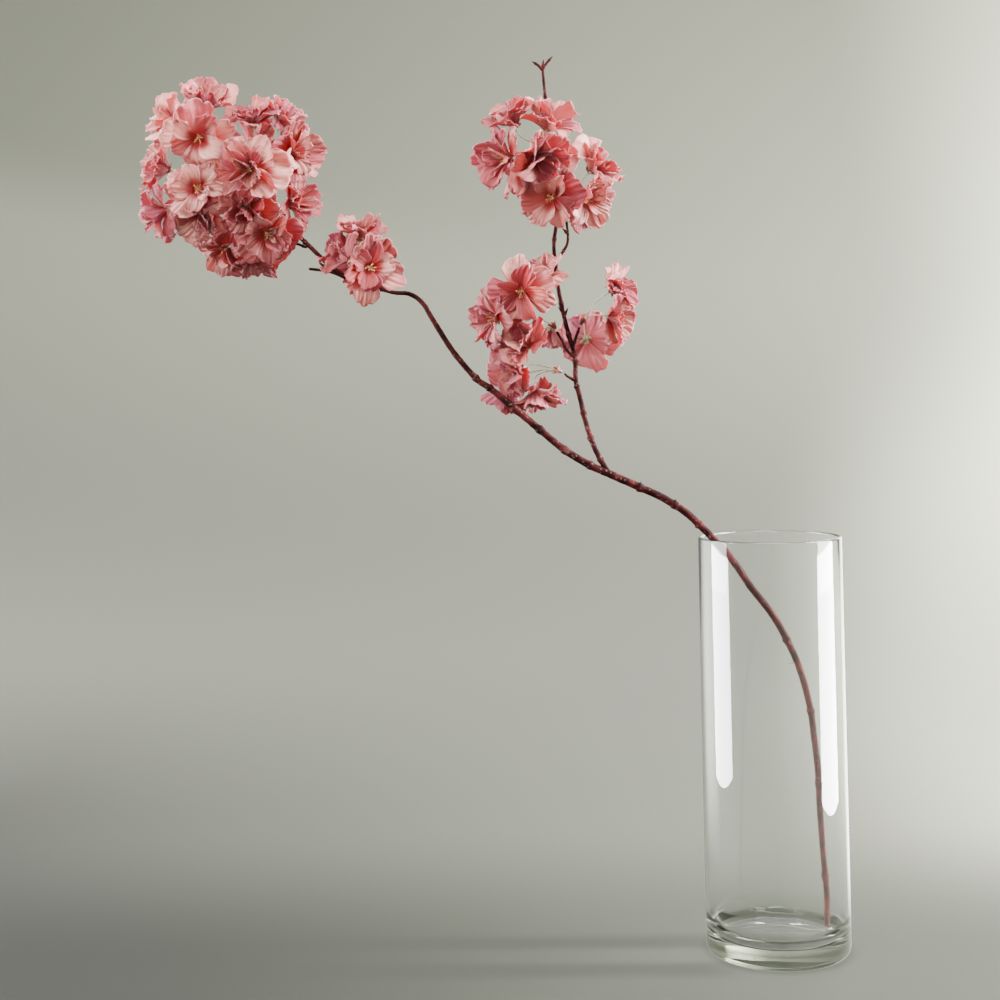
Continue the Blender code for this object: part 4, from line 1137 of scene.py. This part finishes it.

# Each bloom's share of cream, of pink and of deep coral, and how many petals its third ring has. The cream
# and deep coral shares are dye and partly painted light: more cream where a bloom is lit, more coral where
# it is in shade. Some blooms are fuller or smaller than the length that their plain solid has.
BLOOM_LOOKS = {
    "crown_01": (0.10, 0.55, 0.45, 2), "crown_02": (1.00, 0.30, 0.00, 2), "crown_03": (0.75, 0.45, 0.35, 0),
    "crown_04": (0.15, 0.50, 0.55, 2), "crown_05": (0.25, 0.90, 0.10, 2), "crown_06": (0.35, 0.45, 0.30, 3),
    "crown_07": (0.45, 0.40, 0.40, 5), "crown_08": (0.35, 0.65, 0.25, 3), "crown_09": (0.85, 0.30, 0.15, 1),
    "crown_10": (0.20, 0.90, 0.20, 3), "crown_11": (0.45, 0.60, 0.25, 3), "crown_12": (0.10, 0.35, 0.85, 3),
    "crown_13": (0.20, 0.50, 0.55, 2), "crown_14": (0.20, 0.30, 0.65, 2), "crown_15": (0.10, 0.30, 0.75, 3),
    "crown_16": (0.20, 0.40, 0.50, 3), "middle_1": (0.20, 0.35, 0.60, 0), "middle_2": (0.05, 0.60, 0.75, 3),
    "middle_3": (0.20, 0.45, 0.55, 2), "top_1": (0.15, 0.60, 0.50, 3), "top_2": (0.25, 0.55, 0.55, 3),
    "top_3": (0.55, 0.30, 0.25, 2), "top_4": (0.30, 0.60, 0.35, 3), "top_5": (0.35, 0.25, 0.25, 0),
    "top_6": (0.45, 0.35, 0.25, 2), "top_7": (0.50, 0.40, 0.20, 3), "side_1": (0.40, 0.30, 0.30, 2),
    "side_2": (0.40, 0.20, 0.20, 0), "side_3": (0.20, 0.65, 0.40, 3), "side_4": (0.30, 0.60, 0.30, 3),
    "side_6": (0.30, 0.75, 0.15, 3), "side_7": (0.25, 0.85, 0.15, 3), "right_1": (0.35, 0.80, 0.05, 2),
    "right_2": (0.30, 0.75, 0.15, 2), "right_3": (0.20, 0.80, 0.20, 2),
}
OTHER_LOOK = (0.30, 0.50, 0.35, 3)
FULLER = {"top_1": 1.18, "top_2": 1.32, "top_3": 1.12, "top_4": 1.0, "top_6": 1.12, "top_7": 1.18,
          "top_8": 1.20, "crown_03": 1.05, "middle_3": 0.90, "right_1": 0.92, "right_2": 0.92}
OTHER_FULLNESS = 0.97
PETAL_NUMBERS = ("azimuth", "root_height", "length", "half_width", "root_rise", "tip_rise", "cup", "twist",
                 "fold", "curl", "sway", "lobes", "pleats", "seed", "cream", "pink", "deep")


def petal_rows(bloom):
    """One row of numbers for every petal of a bloom, in the order of PETAL_NUMBERS."""
    cream, pink, deep, inmost = BLOOM_LOOKS.get(bloom.name, OTHER_LOOK)
    full = bloom.length * FULLER.get(bloom.name, OTHER_FULLNESS)
    draw, closed = random.Random("petals of " + bloom.name), 1 - bloom.open
    rows = []
    for ring, form in enumerate(RINGS):
        for number in range((PETALS_IN_RING, PETALS_IN_RING, inmost, min(inmost, 2))[ring]):
            length = full * form["size"] * draw.uniform(0.80, 1.03)
            root = form["root_rise"] + form["root_closing"] * closed
            root += draw.uniform(-1, 1) * form["root_spread"]
            tip = form["tip_rise"] + form["tip_closing"] * closed
            tip += draw.uniform(-1, 1) * form["tip_spread"]
            shade = (cream + draw.uniform(-0.50, 0.55), pink + draw.uniform(-0.5, 0.5),
                     deep + draw.uniform(-0.3, 0.35))
            rows.append((
                2 * math.pi * (number + 0.5 * ring) / PETALS_IN_RING + draw.uniform(-0.28, 0.28),
                HUB_TIER * min(ring + 0.5, 2.0), length,
                length * form["half_width"] * draw.uniform(0.82, 1.12),
                math.radians(root), math.radians(min(tip, root - 4)), draw.uniform(0.0, 0.42),
                draw.uniform(-0.40, 0.40), draw.uniform(*form["fold"]), draw.uniform(*form["curl"]),
                draw.uniform(-0.16, 0.16), draw.uniform(2.2, 4.4), draw.uniform(15, 24), draw.uniform(0, 9),
                *(max(0.0, min(1.0, part)) for part in shade)))
    return rows


# %% [markdown]
# A bloom is grown from its rows of numbers and eased into its cell. A Solidify modifier then gives the
# cloth its thickness, and gives front, reverse and cut edge a material each. The petals are fused to a
# small pierced hub, which sits on the wire.

# %% Blooms
SILK_THICKNESS = 0.00028
HUB_OUTLINE = ((0.0013, 0.0), (0.0031, 0.0), (0.0034, 0.0009), (0.0030, 0.0018), (0.0013, 0.0018),
               (0.0013, 0.0))
HUB_SEGMENTS = 20


def add_hub(mesh, bloom):
    """The small pierced disc that the petals are fused to, put into the bloom's mesh."""
    points, faces = lathe(HUB_OUTLINE, HUB_SEGMENTS)
    work = bmesh.new()
    work.from_mesh(mesh)
    corners = [work.verts.new(bloom.place(*point)) for point in points]
    for face in faces:
        work.faces.new([corners[i] for i in face]).smooth = True
    bmesh.ops.remove_doubles(work, verts=corners, dist=1e-6)
    work.to_mesh(mesh)
    work.free()


def petal_seeds(rows, frames):
    """The base mesh for the petal tree: one point a petal, with its numbers and the frame that it is in."""
    rows = np.array(rows)
    return seedling("petals", np.zeros((len(rows), 3)), **dict(zip(PETAL_NUMBERS, rows.T)), **frames)


def make_bloom(bloom):
    rows = petal_rows(bloom)
    piece = grow("bloom_" + bloom.name, petal_tree, petal_seeds(rows, bloom.frame(len(rows))), {
        "Rows": 11, "Strands": 25, "Root radius": HUB_RADIUS, "Root width": 0.0019, "Notch": 0.15,
        "Ruffle": 1.25, "Pleat depth": 0.0009, "Frill": 0.0009, "Material": front})
    flat = np.empty(len(piece.data.vertices) * 3, np.float32)
    piece.data.vertices.foreach_get("co", flat)
    piece.data.vertices.foreach_set("co", bloom.eased(flat.reshape(-1, 3)).astype(np.float32).ravel())
    for look in (reverse, cut_edge):
        piece.data.materials.append(look)
    cloth = piece.modifiers.new("Silk", "SOLIDIFY")
    cloth.thickness, cloth.offset = SILK_THICKNESS, 0.0
    cloth.material_offset, cloth.material_offset_rim = 1, 2
    settled(piece)
    add_hub(piece.data, bloom)
    dress(piece, "silk_petal", "bloom_" + bloom.name)
    return count(piece)


totals = [make_bloom(bloom) for bloom in blooms]
print("blooms:", len(totals), "triangles:", sum(totals), "largest:", max(totals))

# %% [markdown]
# ## Wires, calyxes and stamens
#
# The blooms of one spray hang on thin wires with a pale green coating, which leave one knob on the twig.
# Every wire thickens into a calyx under its bloom, passes through the hub and ends in a small boss. One
# line of points with a thickness at each makes all of that, in the same way as the bark. The stamens
# stand on the last point of each line: the tree sets a bundle of threads with an anther each there and
# tilts every one by a different amount.

# %% Coating, threads and anthers
def coated_wire(tree):
    place = tree.place()
    patch = tree.noise(place, 160.0, 2.0)
    paint = tree.mix(patch.rise(0.3, 0.7), colour(0.26, 0.28, 0.16), colour(0.44, 0.44, 0.30))
    grain = tree.relief(tree.noise(place, 1500.0, 2.0), 0.4, 0.0002)
    return tree.surface(paint, patch * 0.3 + 0.35, Normal=grain)


def stamen_thread(tree):
    tone = tree.noise(tree.place(), 900.0, 1.0).rise(0.35, 0.65)
    return tree.surface(tree.mix(tone, colour(0.84, 0.46, 0.30), colour(0.64, 0.34, 0.20)), 0.5)


def anther_dust(tree):
    tone = tree.noise(tree.place(), 1800.0, 1.0).rise(0.35, 0.65)
    return tree.surface(tree.mix(tone, colour(0.88, 0.62, 0.25), colour(0.42, 0.20, 0.06)), 0.8)


# %% [markdown]
# A stamen is made once, one unit long: a bent thread with an anther across its end. The tree doubles the
# point at each boss as often as there are stamens, sets one on each and turns, tilts and sizes it by a draw
# with a fixed seed.

# %% The spray rule
def together(tree, *parts):
    """Several geometries as one."""
    join = tree.nodes.nodes.new("GeometryNodeJoinGeometry")
    for part in parts:
        tree.nodes.links.new(part.socket, join.inputs[0])
    return Value(tree, join.outputs[0])


def drawn(tree, least, most, seed):
    """A random number for every stamen."""
    return tree.add("FunctionNodeRandomValue", {"data_type": "FLOAT"},
                    {"Min": least, "Max": most, "Seed": seed}, "Value")


STAMEN_BEND = 0.22


def wired_spray(tree, lines, given):
    skin = coloured(tree, tube_skin(tree, lines, given["Sides"]), given["Wire"])

    thread = tree.add("GeometryNodeCurvePrimitiveBezierSegment", {"mode": "POSITION"}, {
        "Resolution": 6, "Start": (0.0, 0.0, 0.0), "Start Handle": (0.0, 0.0, 0.35),
        "End Handle": (0.10, 0.0, 0.75), "End": (STAMEN_BEND, 0.0, 1.0)})
    profile = tree.add("GeometryNodeCurvePrimitiveCircle", None, {
        "Resolution": 5, "Radius": given["Thread radius"]})
    thread = tree.add("GeometryNodeCurveToMesh", None, {
        "Curve": thread, "Profile Curve": profile, "Fill Caps": True})
    thread = tree.add("GeometryNodeSetMaterial", None, {"Geometry": thread, "Material": given["Thread"]})
    anther = tree.add("GeometryNodeMeshUVSphere", None, {
        "Segments": 8, "Rings": 6, "Radius": given["Anther radius"]})
    anther = tree.add("GeometryNodeTransform", None, {
        "Geometry": anther, "Translation": (STAMEN_BEND, 0.0, 1.02), "Scale": (1.0, 0.7, 1.5)})
    anther = tree.add("GeometryNodeSetMaterial", None, {"Geometry": anther, "Material": given["Anther"]})
    stamen = tree.add("GeometryNodeSetShadeSmooth", None, {"Geometry": together(tree, thread, anther)})

    tips = tree.add("GeometryNodeSeparateGeometry", {"domain": "POINT"}, {
        "Geometry": lines, "Selection": told(tree, "boss")})
    tips = tree.add("GeometryNodeMeshToPoints", None, {"Mesh": tips})
    bundle = tree.add("GeometryNodeDuplicateElements", {"domain": "POINT"}, {
        "Geometry": tips, "Amount": given["Stamens"]})
    turn = drawn(tree, 0.0, 2 * math.pi, 1)
    tilt = drawn(tree, 0.05, 0.62, 2)
    reach = drawn(tree, given["Shortest"], given["Longest"], 3)
    facing = told(tree, "facing", "FLOAT_VECTOR")
    stand = tree.add("FunctionNodeAlignRotationToVector", {"axis": "Z"}, {"Vector": facing})
    swing = tree.add("FunctionNodeEulerToRotation", None, {0: tree.join(0.0, tilt, turn)})
    stand = tree.add("FunctionNodeRotateRotation", {"rotation_space": "LOCAL"}, {0: stand, 1: swing})
    bundle = tree.add("GeometryNodeInstanceOnPoints", None, {
        "Points": bundle, "Instance": stamen, "Rotation": stand, "Scale": tree.join(reach, reach, reach)})
    bundle = tree.add("GeometryNodeRealizeInstances", None, {"Geometry": bundle})
    return together(tree, skin, bundle)


spray_tree = geometry_tree("wired_spray", {
    "Sides": int, "Stamens": int, "Thread radius": float, "Anther radius": float, "Shortest": float,
    "Longest": float, "Wire": bpy.types.Material, "Thread": bpy.types.Material,
    "Anther": bpy.types.Material}, wired_spray)
wire, thread, anther = (material(*pair) for pair in (
    ("coated_wire", coated_wire), ("stamen_thread", stamen_thread), ("anther_dust", anther_dust)))

# %% [markdown]
# A wire leaves its knob along the spray's own way and arrives along the axis of its bloom. Its outline
# then widens into the calyx, narrows to pass the hub and closes over the boss.

# %% Sprays
KNOB_LENGTH = 0.0040
KNOB_RADIUS = 0.0017
WIRE_STEPS = 18
# Heights above the hub's underside and the radii there, from the wire, over the calyx, to the boss.
CALYX_OUTLINE = ((-0.0038, 0.0010), (-0.0029, 0.0016), (-0.0018, 0.0020), (-0.0009, 0.0023),
                 (-0.0004, 0.0024), (-0.0003, 0.0010), (0.0020, 0.0010), (0.0023, 0.0009),
                 (0.0026, 0.0006), (0.0028, 0.0002))


def spray_lines(name):
    """The knob and the wires of a spray, and for each line's last point the way its bloom faces."""
    start, way = (Vector(v) for v in SPRAYS[name])
    way.normalize()
    knob = [start + way * (KNOB_LENGTH * share) for share in (-0.3, -0.1, 0.2, 0.45, 0.6, 0.7)]
    lines = [(knob, [KNOB_RADIUS * share for share in (0.75, 0.95, 1.0, 0.85, 0.6, 0.2)])]
    facing = [Vector((0, 0, 1))] * len(knob)
    for bloom in blooms:
        if bloom.spray == name:
            line = bloom.wire_path(WIRE_STEPS)
            radii = [WIRE_RADIUS] * len(line)
            line += [bloom.place(0, 0, height) for height, _ in CALYX_OUTLINE]
            radii += [radius for _, radius in CALYX_OUTLINE]
            lines.append((line, radii))
            facing += [bloom.axis] * len(line)
    points, radii, edges = strung(lines)
    ends = np.cumsum([len(line) for line, _ in lines]) - 1
    boss = np.zeros(len(points))
    boss[ends[1:]] = 1.0
    facing = np.array([list(way) for way in facing])
    return seedling(name, points, edges, thickness=radii, boss=boss, facing=facing)


total = 0
for name in SPRAYS:
    spray = grow("spray_" + name + "_wires", spray_tree, spray_lines(name), {
        "Sides": 10, "Stamens": 16, "Thread radius": 0.030, "Anther radius": 0.105, "Shortest": 0.0038,
        "Longest": 0.0066, "Wire": wire, "Thread": thread, "Anther": anther})
    dress(spray, "green_wire", "spray_" + name)
    total += count(spray)
print("sprays:", len(SPRAYS), "triangles:", total)

# %% [markdown]
# ## Sepals and bud scales
#
# Under every bloom five small sepals lie against the petals, and round every knob there is a tuft of dark
# bud scales, out of which the wires come. Both are leaf shapes like the petals, only small and narrow, so
# the same tree grows them with other numbers and a coarser grid.

# %% Sepal green and scale red
def sepal_green(tree):
    patch = tree.noise(tree.place(), 300.0, 2.0)
    paint = tree.mix(patch.rise(0.35, 0.65), colour(0.20, 0.16, 0.07), colour(0.30, 0.075, 0.045))
    return tree.surface(paint, 0.55, Normal=tree.relief(patch, 0.4, 0.0002))


def scale_red(tree):
    u, v = petal_place(tree)
    paint = tree.mix(u.rise(0.35, 1.0), colour(0.060, 0.008, 0.007), colour(0.34, 0.050, 0.030))
    ribs = tree.noise(tree.join(v * 9.0, u * 1.5, 0.0), 1.0, 2.0)
    return tree.surface(paint, ribs * 0.3 + 0.35, Normal=tree.relief(ribs, 0.6, 0.0003))


# %% [markdown]
# A small leaf fills the same row of numbers as a petal, with no dye and hardly any ruffle. All sepals are
# one piece and all scales another, because nobody would take a single one off.

# %% Small leaves
SEPALS = 5
SEPAL_LENGTH = 0.0052
SEPAL_WIDTH = 0.0021
SEPAL_FOOT = -0.0026
SCALES = 6
SCALE_LENGTH = 0.0075
SCALE_WIDTH = 0.0020
LEAF_THICKNESS = 0.0003


def leaf_row(draw, number, total, height, length, width, root, tip):
    """One small leaf's numbers, in the order of PETAL_NUMBERS."""
    return (2 * math.pi * number / total + draw.uniform(-0.2, 0.2), height, length * draw.uniform(0.75, 1.2),
            width * draw.uniform(0.85, 1.15), math.radians(root + draw.uniform(-8, 8)),
            math.radians(tip + draw.uniform(-12, 12)), 0.35, draw.uniform(-0.2, 0.2), draw.uniform(0.1, 0.4),
            draw.uniform(-0.15, 0.15), draw.uniform(-0.15, 0.15), 1.2, 6.0, draw.uniform(0, 9), 0.0, 0.0, 0.0)


def small_leaves(name, rows, frames, root_radius, look, slot):
    """Small leaves as one piece, from their numbers and frames."""
    frames = {key: np.concatenate([frame[key] for frame in frames]) for key in frames[0]}
    piece = grow(name, petal_tree, petal_seeds(rows, frames), {
        "Rows": 7, "Strands": 7, "Root radius": root_radius, "Root width": 0.0008, "Notch": 0.10,
        "Ruffle": 0.5, "Pleat depth": 0.0, "Frill": 0.0, "Material": look})
    cloth = piece.modifiers.new("Leaf", "SOLIDIFY")
    cloth.thickness, cloth.offset = LEAF_THICKNESS, 0.0
    settled(piece)
    dress(piece, slot)
    return count(piece)


draw = random.Random("small leaves")
rows = []
for bloom in blooms:
    closing = 60 * (1 - bloom.open)
    rows += [leaf_row(draw, k, SEPALS, SEPAL_FOOT, SEPAL_LENGTH, SEPAL_WIDTH, 14 + closing, closing - 4)
             for k in range(SEPALS)]
total = small_leaves("bloom_sepals", rows, [bloom.frame(SEPALS) for bloom in blooms], 0.0013,
                     material("sepal_green", sepal_green), "green_wire")
rows, frames = [], []
for start, way in SPRAYS.values():
    axis = Vector(way).normalized()
    east = axis.orthogonal().normalized()
    vectors = {"origin": Vector(start) - axis * 0.0015, "east": east, "north": axis.cross(east), "axis": axis}
    frames.append({key: np.tile(np.array(vector), (SCALES, 1)) for key, vector in vectors.items()})
    rows += [leaf_row(draw, k, SCALES, 0.0, SCALE_LENGTH, SCALE_WIDTH, 72, 58) for k in range(SCALES)]
total += small_leaves("bud_scales", rows, frames, 0.0012, material("scale_red", scale_red), "painted_bark")
print("small leaves' triangles:", total)

# %% [markdown]
# ## Finishing
#
# At the end the scene is brought up to date. The finished model has to stay in the
# space that the plain solids hold.

# %% The last update
bpy.context.view_layer.update()
